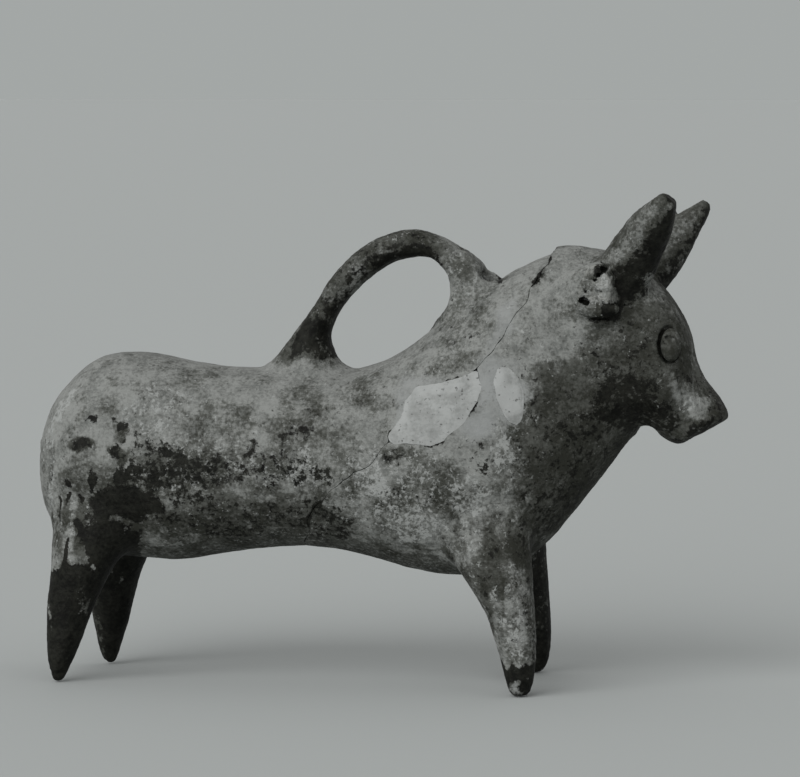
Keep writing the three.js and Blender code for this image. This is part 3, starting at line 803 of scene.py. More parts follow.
rough, plaster = stored_number("rough"), stored_number("plaster")
clay = minus(1.0, plaster)
hills = relief_noise("Hill", "size", 1.0, 0.0)
lumps = relief_noise("Lump", "size", 2.0, 5.0)
strokes = relief_noise("Stroke", "width", 1.0, 9.0, along)
broken = times(relief_noise("Broken", "size", 3.0, 13.0), rough)
pattern = {"Vector": place, "W": plus(start["Seed"], 17.0), "Scale": one_over(relief, start["Pit spacing"])}
cells = add(relief, "ShaderNodeTexVoronoi", pattern, voronoi_dimensions="4D")
lot = add(relief, "ShaderNodeSeparateXYZ", {0: cells.outputs["Color"]}).outputs
width = mix(lot[1], PIT_SPREAD, PIT_SIZE)
bowl = step_between(relief, cells.outputs["Distance"], width, PIT_FLOOR)
chosen = less(lot[0], mix(rough, PIT_GROWTH, PIT_SHARE))
pits = times(times(times(bowl, chosen), start["Pit depth"]), clay)
smooth_part = times(plus(hills, lumps), mix(plaster, -PLASTER_RELIEF, 1.0))
rise = minus(plus(plus(smooth_part, times(strokes, clay)), times(broken, clay)), pits)
normal = add(relief, "GeometryNodeInputNormal").outputs[0]
offset = scaled(relief, normal, times(rise, 1 / MM))
moved = add(relief, "GeometryNodeSetPosition", {"Geometry": start["Geometry"], "Offset": offset}).outputs[0]
real = add(relief, "GeometryNodeRealizeInstances", {"Geometry": moved}).outputs[0]
done = add(relief, "GeometryNodeSetMaterial", {"Geometry": real, "Material": start["Clay"]}).outputs[0]
add(relief, "NodeGroupOutput", {"Geometry": done})
print("nodes in the relief tree:", len(relief.nodes))

# %% [markdown]
# Making the relief real
# The tree runs as a modifier. Its inputs are set by their identifiers before it runs for the first time,
# and its result then becomes the plain mesh of the skin, so that the cuts that follow go through the real
# relief.

# %% Press the relief into the skin
plain_clay = bpy.data.materials.new("plain_clay")
plain_clay.use_nodes = True
plain_clay.node_tree.nodes["Principled BSDF"].inputs["Base Color"].default_value = (0.3, 0.3, 0.29, 1)


def finished(piece):
    """Turns what a piece's modifiers make into its plain mesh, and removes the modifiers."""
    graph = bpy.context.evaluated_depsgraph_get()
    mesh = bpy.data.meshes.new_from_object(piece.evaluated_get(graph))
    piece.modifiers.clear()
    old = piece.data
    piece.data = mesh
    bpy.data.meshes.remove(old)


modifier = skin_object.modifiers.new("relief", "NODES")
modifier.node_group = relief
sockets = {item.name: item.identifier for item in relief.interface.items_tree if item.in_out == "INPUT"}
modifier[sockets["Clay"]] = plain_clay
for label, value in RELIEF_INPUTS.items():
    modifier[sockets[label]] = value
finished(skin_object)
print("relief pressed into", len(skin_object.data.vertices), "corners")

# %% [markdown]
# Hollow it and take it apart
# A potter's wall is fairly even, so the hollow is the body's own form shrunk by the wall. We take it out
# with a Boolean, and then cut the shell into its pieces with the fields from before, turned into solid
# cutters. Cutting one shell keeps the outer surfaces of neighbours exactly in line, so no seam shows where
# the potter left none. At the old break the two cutters stay a hair apart. Nobody sees much of the
# hollow's wall, so its mesh is thinned first, which saves faces for the outside.

# %% Helpers for cutting
WALL = 3.6
HOLLOW_DETAIL = 0.45
SHARP = math.radians(55)


def solid(block, field):
    """A closed cutter from a field, shut off at the edge of its block."""
    field = field.copy()
    for axis in range(3):
        ends = np.moveaxis(field, axis, 0)
        ends[[0, -1]] = block.cell
    return mesh_object("cutter", *block.surface(field))


def boolean(piece, tool, operation):
    """Cuts a piece with a tool for good."""
    modifier = piece.modifiers.new("cut", "BOOLEAN")
    modifier.operation = operation
    modifier.solver = "MANIFOLD"
    modifier.object = tool
    finished(piece)


def copy_of(piece, name):
    """A second object with its own copy of the mesh."""
    mesh = piece.data.copy()
    mesh.name = name
    twin = bpy.data.objects.new(name, mesh)
    bpy.context.collection.objects.link(twin)
    return twin


def discard(*things):
    """Deletes helper objects and their meshes."""
    for thing in things:
        mesh = thing.data
        bpy.data.objects.remove(thing)
        bpy.data.meshes.remove(mesh)


def without_crumbs(piece, fewest=24):
    """Removes loose bits with fewer corners than that."""
    work = bmesh.new()
    work.from_mesh(piece.data)
    seen = set()
    crumbs = []
    for seed in work.verts:
        if seed in seen:
            continue
        island = [seed]
        seen.add(seed)
        for corner in island:
            for edge in corner.link_edges:
                other = edge.other_vert(corner)
                if other not in seen:
                    seen.add(other)
                    island.append(other)
        if len(island) < fewest:
            crumbs += island
    bmesh.ops.delete(work, geom=crumbs, context="VERTS")
    work.to_mesh(piece.data)
    work.free()
    return len(crumbs)


print("wall in mm:", WALL)

# %% [markdown]
# Cutting
# The skin is hollowed first. Then each limb comes off with a cutter of its own, and what is left is shared
# between the parts of the body and the two fills. Last, crumbs are swept up, and edges sharper than 55
# degrees stay sharp while all others are shaded smooth.

# %% Cut the pieces
hollow = solid(coarse, body_coarse + WALL)
thinning = hollow.modifiers.new("fewer faces", "DECIMATE")
thinning.ratio = HOLLOW_DETAIL
finished(hollow)
boolean(skin_object, hollow, "DIFFERENCE")
opening = BREAK_GAP / 2 * ease(-np.abs(ahead), -2.0, -0.5)
regions["rear_body"] += opening
regions["front_body"] += opening
pieces = {}


def cut_out(names):
    """Cuts these pieces out of what is left of the skin."""
    for name in names:
        tool = solid(coarse, regions[name])
        pieces[name] = copy_of(skin_object, name + "_clay")
        boolean(pieces[name], tool, "INTERSECT")
        discard(tool)


cut_out(REACH)
all_limbs = solid(coarse, limb_regions)
boolean(skin_object, all_limbs, "DIFFERENCE")
cut_out(BODY_NODES)
discard(hollow, all_limbs, skin_object)
for name, mesh in eye_meshes.items():
    pieces[name] = mesh_object(name + "_pellet", *mesh)
for name, piece in pieces.items():
    crumbs = without_crumbs(piece)
    piece.data.shade_smooth()
    piece.data.set_sharp_from_angle(angle=SHARP)
    print(name, len(piece.data.polygons), "faces,", crumbs, "loose corners removed")

# %% [markdown]
# Floor and light
# The real pot stood on a wide sheet of plain grey paper, in soft light from the front left, about 30 degrees
# up. A sun lamp with a wide disc gives such light evenly over the whole floor, with soft shadows, and an
# even light from all round keeps the shadows open. Far away the floor meets the room, so the camera sees
# the room in the tone of the lit floor, while the light that the room sends stays a weak plain one.

# %% Make the floor and the light
FLOOR_HALF = 20.0
FLOOR_COLOUR = (0.41, 0.431, 0.424, 1)
ROOM_COLOUR = (0.368, 0.387, 0.381, 1)
KEY_DIRECTION = Vector((-0.42, -0.90, 0.54)).normalized()
KEY_STRENGTH = 0.70 * math.pi
KEY_WIDTH = math.radians(60)
FILL_LEVEL = 0.55
corners = [(-FLOOR_HALF, -FLOOR_HALF, 0), (FLOOR_HALF, -FLOOR_HALF, 0)]
corners += [(FLOOR_HALF, FLOOR_HALF, 0), (-FLOOR_HALF, FLOOR_HALF, 0)]
paper_mesh = bpy.data.meshes.new("paper")
paper_mesh.from_pydata(corners, [], [(0, 1, 2, 3)])
paper = bpy.data.objects.new("paper", paper_mesh)
bpy.context.collection.objects.link(paper)
paper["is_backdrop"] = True
paper_finish = bpy.data.materials.new("grey paper")
paper_finish.use_nodes = True
paper_shader = paper_finish.node_tree.nodes["Principled BSDF"]
paper_shader.inputs["Base Color"].default_value = FLOOR_COLOUR
paper_shader.inputs["Roughness"].default_value = 0.9
paper_shader.inputs["Specular IOR Level"].default_value = 0.1
paper_mesh.materials.append(paper_finish)

key = bpy.data.lights.new("window", "SUN")
key.energy = KEY_STRENGTH
key.angle = KEY_WIDTH
key_lamp = bpy.data.objects.new("window", key)
bpy.context.collection.objects.link(key_lamp)
aim(key_lamp, AIM + KEY_DIRECTION, AIM)
world = bpy.data.worlds.new("room")
world.use_nodes = True
room = world.node_tree
seen = add(room, "ShaderNodeLightPath").outputs["Is Camera Ray"]
tone = blend(room, seen, (FILL_LEVEL, FILL_LEVEL, FILL_LEVEL, 1), ROOM_COLOUR)
room.links.new(tone, room.nodes["Background"].inputs["Color"])
bpy.context.scene.world = world
bpy.context.scene.view_settings.view_transform = "Standard"
print("light from", [round(v, 2) for v in KEY_DIRECTION])

# %% [markdown]
# On the chest, the jaw, the underside, the fronts of the horns and the inner side of the strap, which face
# away from the light, this dark is partly painted shade. In the hollow and under the lug of the broken ear,
# in the slit by the strap and in the grooves round the eyes, the slip and film numbers paint shade alone.
# Where the slip stayed
# The dark slip has worn off in patches: it stayed in hard-edged flakes on the rump, in a peppered band along
# the barrel, nearly whole on the chest, the legs, the underside and the fronts of the horns. It is gone on
# the back and the shoulder. A thin film of it was left in other places, and pale lime crust sits in spots
# between. No pattern in a shader knows where these places are, so each corner of the mesh gets four numbers:
# how much slip, film, crust and plaster smear there is. They come from oval dabs placed in a side view,
# from which way the surface faces, and from the limb that the corner is on.
# The left side was never seen; it gets the same dabs moved along, so the two sides don't mirror each other.

# %% Places of the slip, the film, the crust and of painted shade
# x and z of the middle in mm, half its length and height, its strength, and its turn in degrees if any
SLIP_AND_SHADE_DABS = [
    (-71.4, 58.6, 2.2, 2.0, 0.66), (-70.2, 57.8, 0.8, 0.6, 1.0), (-62.2, 67.0, 1.2, 1.2, 0.7),
    (-60.0, 64.4, 1.7, 1.6, 0.62, 10), (-62.6, 58.8, 1.2, 1.9, 0.7), (-60.6, 56.2, 1.1, 1.2, 0.6),
    (-67.8, 51.3, 1.0, 2.9, 0.95, 10), (-76.0, 49.3, 0.9, 1.1, 0.9), (-52.0, 50.9, 1.1, 3.0, 0.7, -12),
    (-58.2, 45.6, 8.4, 4.2, 1.15), (-64.6, 43.0, 3.0, 3.4, 1.0), (-57.2, 53.4, 4.6, 2.8, 0.74),
    (-61.5, 51.9, 2.2, 2.2, 0.9, 20), (-72.4, 38.6, 1.6, 1.5, 1.1), (-77.3, 43.5, 0.4, 3.2, 0.9),
    (-68.0, 36.6, 2.2, 4.6, 1.0, 10), (-70.6, 45.4, 1.0, 1.6, 0.8), (-75.4, 45.8, 0.5, 1.6, 0.7),
    (-75.5, 33.1, 0.7, 3.0, 0.95), (-63.4, 33.8, 4.9, 6.6, 1.15), (-72.0, 46.5, 1.2, 0.9, 0.7),
    (-68.8, 66.4, 1.8, 0.6, 0.6, 30), (-47.5, 58.2, 2.2, 1.0, 0.8, -35), (-79.8, 51.2, 0.35, 1.6, 0.8),
    (-52.8, 59.6, 10.0, 3.6, 0.4), (-46.3, 53.6, 15.0, 4.6, 0.58), (-34.8, 54.4, 12.3, 4.6, 0.5),
    (-23.2, 55.5, 9.0, 5.0, 0.47), (-18.3, 62.9, 3.2, 2.6, 0.55), (-12.9, 52.3, 5.4, 2.9, 0.55),
    (-12.9, 69.3, 5.7, 1.8, 0.3), (-43.0, 47.2, 5.5, 3.0, 0.55), (-30.0, 42.0, 30.0, 5.5, 0.4),
    (-9.7, 42.1, 9.0, 5.0, 0.5), (8.3, 58.2, 4.6, 2.0, 0.42), (17.7, 47.8, 9.9, 3.2, 0.3),
    (29.5, 58.0, 3.7, 4.1, 0.36), (9.0, 50.0, 6.0, 3.0, 0.26), (24.0, 39.0, 8.0, 3.0, 0.3),
    (21.1, 79.5, 6.7, 2.4, 0.2, 15), (22.4, 87.8, 5.2, 4.6, 0.24), (53.0, 66.0, 9.0, 5.0, 0.44),
    (40.8, 71.0, 5.0, 9.0, 0.3, 10), (51.0, 58.0, 14.0, 17.0, 0.36), (46.0, 44.0, 8.0, 9.0, 0.46),
    # the first dab on this line and the first on the next darken the jaw and throat: slip, and painted shade
    # under the head
    (63.5, 71.0, 9.0, 7.5, 0.76), (65.0, 82.0, 11.0, 10.0, 0.34), (85.2, 68.6, 1.9, 2.8, 0.45, 35),
    (70.5, 68.0, 4.6, 5.0, 0.7), (80.0, 63.6, 9.0, 2.3, 0.7, 30), (57.6, 103.2, 1.3, 1.6, 0.9),
    # painted shade at the broken ear: these three dabs under its lug and in the hole beside it, and the last
    # dab on the line before in its hollow
    (58.4, 91.6, 3.4, 0.9, 0.95), (54.0, 95.9, 1.4, 0.8, 1.1, -25), (60.3, 93.6, 1.9, 2.6, 1.15),
]
FILM_AND_SHADE_DABS = [
    (-30.6, 41.3, 32.0, 7.6, 0.9), (-33.1, 54.2, 28.3, 7.3, 0.6), (-60.4, 45.5, 9.9, 9.0, 0.95),
    (-70.0, 50.0, 7.5, 6.5, 0.74), (-72.0, 60.0, 5.0, 4.0, 0.4), (-71.0, 58.9, 2.6, 2.2, 1.15),
    (-60.4, 62.6, 2.0, 2.2, 0.95, 10), (-62.2, 58.9, 2.6, 1.0, 1.1, -35), (-60.6, 56.2, 1.6, 1.6, 1.0),
    (-60.0, 66.0, 3.0, 0.7, 0.7, 25), (-55.0, 52.0, 8.0, 4.0, 0.75), (-71.0, 40.0, 7.0, 9.0, 0.8),
    (-44.3, 53.6, 19.0, 7.0, 0.78), (35.0, 32.0, 9.0, 9.0, 1.0), (66.0, 86.0, 12.0, 13.0, 1.0),
    (1.4, 71.7, 8.0, 5.5, 0.48), (-15.8, 65.4, 9.0, 10.0, 0.56), (-35.5, 65.1, 12.0, 5.2, 0.5),
    (-40.5, 74.8, 19.0, 3.4, 0.38), (-65.1, 72.7, 3.0, 5.0, 0.42, 20), (-52.0, 71.0, 8.0, 3.0, 0.3),
    (21.1, 81.2, 8.0, 3.0, 0.5, 15), (22.4, 87.8, 5.8, 6.4, 0.46), (27.3, 92.0, 4.6, 6.4, 0.42, -30),
    # the last dab on this line is painted shade under the broken ear's lug
    (52.0, 57.8, 17.0, 24.0, 1.12), (44.4, 72.3, 6.9, 10.5, 0.7), (59.6, 94.4, 3.0, 2.6, 0.95),
    (8.8, 58.2, 6.5, 2.8, 0.74), (17.4, 50.0, 11.5, 7.5, 0.74), (8.8, 42.6, 8.0, 5.2, 0.6),
    (-6.0, 49.0, 9.0, 11.0, 0.62), (-9.0, 60.0, 9.0, 6.0, 0.46), (28.5, 38.0, 8.0, 6.5, 0.5),
    (16.2, 32.5, 17.0, 2.6, 0.45), (36.5, 67.0, 4.0, 2.6, 0.5), (38.6, 73.0, 1.2, 7.0, 0.6),
    (58.1, 91.9, 6.5, 5.5, 0.5), (49.5, 89.4, 8.0, 8.0, 0.42), (65.5, 72.0, 12.0, 8.5, 1.18),
    (79.0, 66.6, 9.0, 2.6, 0.95, 25), (86.0, 69.0, 2.6, 3.4, 0.95, 35), (76.0, 94.0, 7.0, 9.0, 0.6),
    (45.0, 45.0, 8.0, 12.0, 1.0), (-80.5, 57.0, 1.2, 14.0, 0.45), (-79.6, 62.0, 0.8, 7.0, 0.5, -20),
    (38.0, 14.0, 5.0, 6.0, 0.5),
]
CRUST_DABS = [
    (-51.5, 68.1, 9.0, 6.5, 0.34), (-44.2, 60.1, 8.0, 4.0, 0.38), (-28.1, 56.7, 12.0, 5.4, 0.34),
    (-46.0, 52.5, 12.0, 4.0, 0.26), (-15.8, 54.4, 5.5, 5.0, 0.4), (-61.4, 42.9, 3.7, 2.4, 0.14),
    (5.1, 49.4, 3.6, 4.2, 0.62), (8.8, 51.1, 16.0, 11.0, 0.36), (13.7, 40.7, 7.0, 3.2, 0.5),
    (26.1, 47.7, 5.5, 6.6, 0.45), (34.7, 61.2, 3.8, 7.6, 0.5), (-77.4, 66.0, 1.6, 9.0, 0.6, -25),
    (-80.0, 50.0, 1.0, 8.0, 0.4), (79.0, 71.0, 3.6, 3.6, 0.6, -25), (36.5, 66.0, 3.5, 6.0, 0.42),
    (57.5, 98.0, 4.5, 6.0, 0.4), (38.6, 14.0, 3.4, 12.0, 0.36), (73.0, 81.4, 1.1, 0.35, 0.8, -25),
]
SMEAR_DABS = [
    (31.0, 76.0, 2.8, 6.0, 1.0, -10), (28.5, 66.0, 4.6, 3.6, 1.0, 30), (34.8, 71.8, 2.6, 3.0, 0.9),
    (16.0, 75.5, 8.0, 1.6, 0.6, 5), (9.0, 70.0, 2.2, 5.0, 0.7, -15), (33.5, 90.0, 1.6, 7.0, 0.6, -25),
]
LEFT_SHIFT = (-11.0, 5.0)
# slip, film and crust on the body and on each limb
BARE = (0.05, 0.27, 0.1)
LIMB_WEAR = {
    "front_right_leg": (0.2, 0.62, 0.2),
    "front_left_leg": (0.75, 0.9, 0.08),
    "hind_right_leg": (0.12, 0.55, 0.15),
    "hind_left_leg": (0.8, 0.9, 0.08),
    "handle": (0.04, 0.3, 0.1),
    "right_horn": (0.1, 0.76, 0.08),
    "left_horn": (0.06, 0.72, 0.08),
    "right_ear_stub": (0.2, 0.5, 0.26),
    "left_ear": (0.3, 0.5, 0.2),
    "tail": (0.4, 0.42, 0.26),
}
# the loop's middle in the side view and half its length and height, then the same three on the inner side
# of the handle, where they are partly painted shade, on its rim and on its front root
HANDLE_MIDDLE = (4.0, 96.0)
HANDLE_HALF = (23.0, 18.0)
HANDLE_INNER_SLIP_AND_SHADE = (0.8, 1.0, 0.0)
HANDLE_RIM = (0.3, 0.86, 0.16)
HANDLE_ROOT = (0.16, 0.5, 0.2)
# how high in mm a foot is dark
TOE_HEIGHTS = {"front_right_leg": 9.0, "front_left_leg": 12.0, "hind_right_leg": 29.0, "hind_left_leg": 30.0}
# patches on the hind leg, the muzzle, the forehead, the cheek and the broken ear where the slip is off
BARE_DABS = [
    (-71.6, 21.8, 1.9, 4.4, 0.42, 10), (-79.2, 16.0, 0.5, 3.0, 0.5), (77.0, 73.2, 2.4, 4.2, 0.62, 30),
    (80.2, 69.3, 3.2, 2.3, 0.7, 20), (70.4, 100.0, 2.6, 2.6, 0.7, -40), (58.0, 87.0, 4.0, 3.0, 0.35),
    (59.0, 98.2, 1.7, 2.8, 0.8, 15), (58.6, 101.2, 1.2, 1.4, 0.7, 30),
]
# painted shade in the slit beside the strap's root
SLIT_SHADE_DABS = [(29.0, 101.9, 3.5, 0.75, 1.15, -41)]
# slip, film and crust on an eye, and how far the painted shade in the groove behind it is moved in mm
EYE_WEAR = (0.22, 1.0, 0.0)
EYE_SHADE = (0.4, 0.0, -0.1)
print("dabs:", sum(len(dabs) for dabs in (SLIP_AND_SHADE_DABS, FILM_AND_SHADE_DABS, CRUST_DABS, SMEAR_DABS, BARE_DABS)))


# %% [markdown]
# Dabs and random fields
# A dab is an oval whose strength falls off softly. Its place is shaken by a random field, which makes its
# outline irregular, and on the legs a field stretched upwards gives the runs in which slip wears off a leg.

# %% Helpers for the wear
SHAKE = [waves([(1.1, 5.0), (0.45, 2.0)]) for axis in range(2)]
UPRIGHT = waves([(0.7, (2.2, 2.2, 11.0)), (0.5, (1.4, 1.4, 6.0))])
DAB_EDGE = (-1.6, -0.5)
MIDDLE_BAND = (-4, 4)
eye_far = {name: coarse.distance(*merged(name)) for name in eye_meshes}
print("the dabs are shaken by up to", [round(float(np.abs(field).max()), 1) for field in SHAKE], "mm")


def painted(x, z, dabs):
    """The strongest of a list of soft-edged oval dabs at places in the side view."""
    total = np.zeros_like(x)
    for at_x, at_z, half_long, half_high, strength, *turn in dabs:
        angle = math.radians(sum(turn))
        c, s = math.cos(angle), math.sin(angle)
        along = ((x - at_x) * c + (z - at_z) * s) / half_long
        across = ((z - at_z) * c - (x - at_x) * s) / half_high
        total = np.maximum(total, strength * ease(-np.hypot(along, across), *DAB_EDGE))
    return total


def on_both_sides(points, shake, dabs):
    """The dabs on the right side, the same ones moved along on the left, and a mix over back and belly."""
    x, y, z = points.T
    x, z = x + shake[0], z + shake[1]
    left = ease(y, *MIDDLE_BAND)
    return painted(x, z, dabs) * (1 - left) + painted(x + LEFT_SHIFT[0], z + LEFT_SHIFT[1], dabs) * left


def vectors_of(items, count, key):
    """A vector of each corner of a mesh, such as its place or its direction."""
    values = np.empty(3 * count, np.float32)
    items.foreach_get(key, values)
    return values.reshape(-1, 3)


# %% [markdown]
# Rules that follow the limbs
# A rule is a distance or a direction turned into a share by a smooth step. On the horns it is how far a
# corner is past a line along the horn, and the dark front that it gives, turned from the light, is partly
# slip and partly painted shade; on the strap it is how far its surface faces away from the middle of the
# loop, which leaves its inner side dark, partly with painted shade, and near the strap's foot, where the
# sides face sideways, how far it is from that middle.

# %% Rules for the limbs
LIMB_EDGE, TAIL_EDGE, LIMB_END, LIMB_SHAKE = -3.5, -0.6, 0.3, 0.7
# a place on the line along the right horn, the direction across it, and for each horn how far forward the
# line is moved and how much further back the shade starts at the root
HORN_PLACE = (60.4, 104.7)
HORN_ACROSS = (0.825, 0.565)
HORN_LINES = {"right_horn": (2.2, 2.6), "left_horn": (12.3, 0.5)}
HORN_ROOTS = (-112, -104)
HORN_FRONT = 3.5
STRAP_FOOT_X, STRAP_FOOT_Z = (6, 12), (-95, -86)
STRAP_NAPE_X = (12, 18)
# how strongly the strap's edge is shaken and where its rim starts and ends, and what its foot adds to them
RIM_SHAKE, RIM_START, RIM_END = 0.3, -0.25, 0.4
FOOT_SIDES, FOOT_SHAKE, FOOT_RIM = 1.5, 0.35, 0.3
print("limbs with wear of their own:", len(LIMB_WEAR))


def limb_shares(points, shake):
    """How far each corner is on each limb, from 0 to 1, with a shaken edge."""
    shares = {}
    for limb in LIMB_WEAR:
        shaken = sample(limb_far[limb], coarse, points) + LIMB_SHAKE * shake[0]
        shares[limb] = ease(-shaken, TAIL_EDGE if limb == "tail" else LIMB_EDGE, LIMB_END)
    return shares


def past_horn_line(limb, x, z, forwards):
    """How far in mm a corner is on the shaded front of a horn."""
    shift, root = HORN_LINES[limb]
    past = (x - HORN_PLACE[0] - shift) * HORN_ACROSS[0] - (z - HORN_PLACE[1]) * HORN_ACROSS[1]
    return past + HORN_FRONT * forwards + root * ease(-z, *HORN_ROOTS)


def strap_wear(x, z, normals, shake):
    """Slip, film and crust on the strap: most on its inner side, less on its rim and at its front root. On
    the inner side the dark is partly painted shade.
    """
    out_x, out_z = x - HANDLE_MIDDLE[0], z - HANDLE_MIDDLE[1]
    outward = (out_x * normals[:, 0] + out_z * normals[:, 2]) / np.hypot(out_x, out_z)
    beside = np.hypot(out_x / HANDLE_HALF[0], out_z / HANDLE_HALF[1]) - 1
    foot = ease(-z, *STRAP_FOOT_Z) * ease(-x, *STRAP_FOOT_X)
    outward = outward + FOOT_SIDES * foot * beside
    shaken = (RIM_SHAKE + FOOT_SHAKE * foot) * shake[1]
    rim = ease(outward + shaken, RIM_START, RIM_END + FOOT_RIM * foot)
    root = ease(x, *STRAP_NAPE_X)
    inner_slip_and_shade, rim_wear, root_wear = (
        np.array(values)[:, None] for values in (HANDLE_INNER_SLIP_AND_SHADE, HANDLE_RIM, HANDLE_ROOT)
    )
    worn_strap = inner_slip_and_shade * (1 - rim) + rim_wear * rim
    return worn_strap * (1 - root) + root_wear * root


# %% [markdown]
# Dark lines
# Dirt has gathered where the surface is open: in stretches of the gap round the large fill, in the break
# under the belly and at the step of the nape. The slit beside the strap's root and the groove behind each eye
# get painted shade. Each line follows a field from before, so it runs exactly where the gap is.

# %% Rules for the dark lines
BREAK_ENDS = ((-49, -45), (37.5, 40.5))
STEP_ENDS = ((98.5, 101), (-8, -5))
OUTER_SHELL = (-6, -3)
FILL_LINE, BELOW_LINE, STEP_LINE, EYE_GROOVE_SHADE = 0.7, 0.85, 1.1, 1.15
FILL_STRETCHES = (0.0, 0.6)
LINE_EDGE, STEP_LINE_EDGE, EYE_LINE_EDGE = (-0.5, -0.1), (-0.6, -0.15), (-1.0, -0.35)
SLIT_SIDE = (-4, -2)
print("the dark line in the break runs from", BREAK_ENDS[1][0], "to", -BREAK_ENDS[0][0], "mm up")


def fill_line(points, shake):
    """Stretches of the edge of the large fill where the gap is open."""
    edge = -np.abs(sample(regions["large_plaster_fill"], coarse, points))
    return FILL_LINE * ease(shake[1], *FILL_STRETCHES) * ease(edge, *LINE_EDGE)


def dark_lines(points):
    """The strongest of the dark lines in the break and the painted shade in the slit and the eye grooves, at
    each corner.
    """
    x, y, z = points.T
    beside_break = -np.abs(sample(ahead, coarse, points))
    near_shell = ease(-sample(body_far["rear_body"], coarse, points), *OUTER_SHELL)
    below = BELOW_LINE * ease(-z, *BREAK_ENDS[0]) * ease(z, *BREAK_ENDS[1]) * ease(beside_break, *LINE_EDGE)
    above = STEP_LINE * ease(z, *STEP_ENDS[0]) * ease(-y, *STEP_ENDS[1])
    above = above * ease(beside_break, *STEP_LINE_EDGE)
    # painted shade in the slit beside the strap's root
    slit = painted(x, z, SLIT_SHADE_DABS) * ease(-y, *SLIT_SIDE)
    lines = [below * near_shell, above * near_shell, slit]
    # painted shade in the groove round each eye, moved behind the pellet
    for far in eye_far.values():
        lines.append(EYE_GROOVE_SHADE * ease(-sample(far, coarse, points + EYE_SHADE), *EYE_LINE_EDGE))
    return np.maximum.reduce(lines)


# %% [markdown]
# All of it together
# The layers go on one after another: what is common on the body and on each limb, the dark toes, the dabs
# together with which way the surface faces, the runs on the legs, the horns, the strap, the patches that
# are bare, the dark lines, and last the smears of plaster, which cover all the others.

# %% Reading the wear
UNEVEN = 2.6
TOE_EDGE, TOE_UNEVEN, TOE_RUNS, TOE_SLIP = 1.6, 0.4, 1.3, 1.05
TIPS = (-9, -6)
BACK_RUBBED = 0.5
RUNS_START = (3, 9)
RUNS_ON_SLIP, RUNS_ON_FILM, RUNS_ON_CRUST = 0.16, 0.34, -0.2
FACING_BACK, FACING_FRONT, FACING_DOWN = (0.0, 0.5), (0.25, 0.75), (0.3, 0.9)
FORE_PART, FORE_CRUST = (20, 40), (25, 40)
CHEST_TOP = (-82, -74)
FRONT_SLIP_AND_SHADE, CHEST_SLIP_AND_SHADE, FRONT_FILM_AND_SHADE, UNDERSIDE_FILM_AND_SHADE = 0.2, 0.22, 0.85, 0.75
# shares of a layer that something takes off: the dark front, slip and painted shade, on the foremost leg,
# crust in front, crust on thick film, and film on a bare patch
LEG_LOSS, CRUST_LOSS, FILMED_CRUST_LOSS, FILM_LOSS = 0.3, 0.8, 0.6, 0.85
THICK_FILM = (0.7, 0.95)
HORN_SLIP_AND_SHADE, HORN_SLIP_EDGE = 0.9, (-3.0, 4.5)
HORN_FILM_AND_SHADE, HORN_FILM_EDGE = 1.1, (-5.5, 1.0)
STRAP_START, STRAP_UNEVEN, STRAP_RUNS = (78.0, 83.0), 0.3, 0.5
BARE_SHAKE, BARE_SIDE = 0.35, (0, 4)
SMEAR_SIDE = (-1, 3)
# the pale halo of plaster round the small fill, with its outer edge, its inner edge and its gaps
HALO, HALO_START, HALO_END, HALO_GAPS = 0.7, (-1.8, -0.3), (-0.3, 0.1), (-0.5, 0.8)


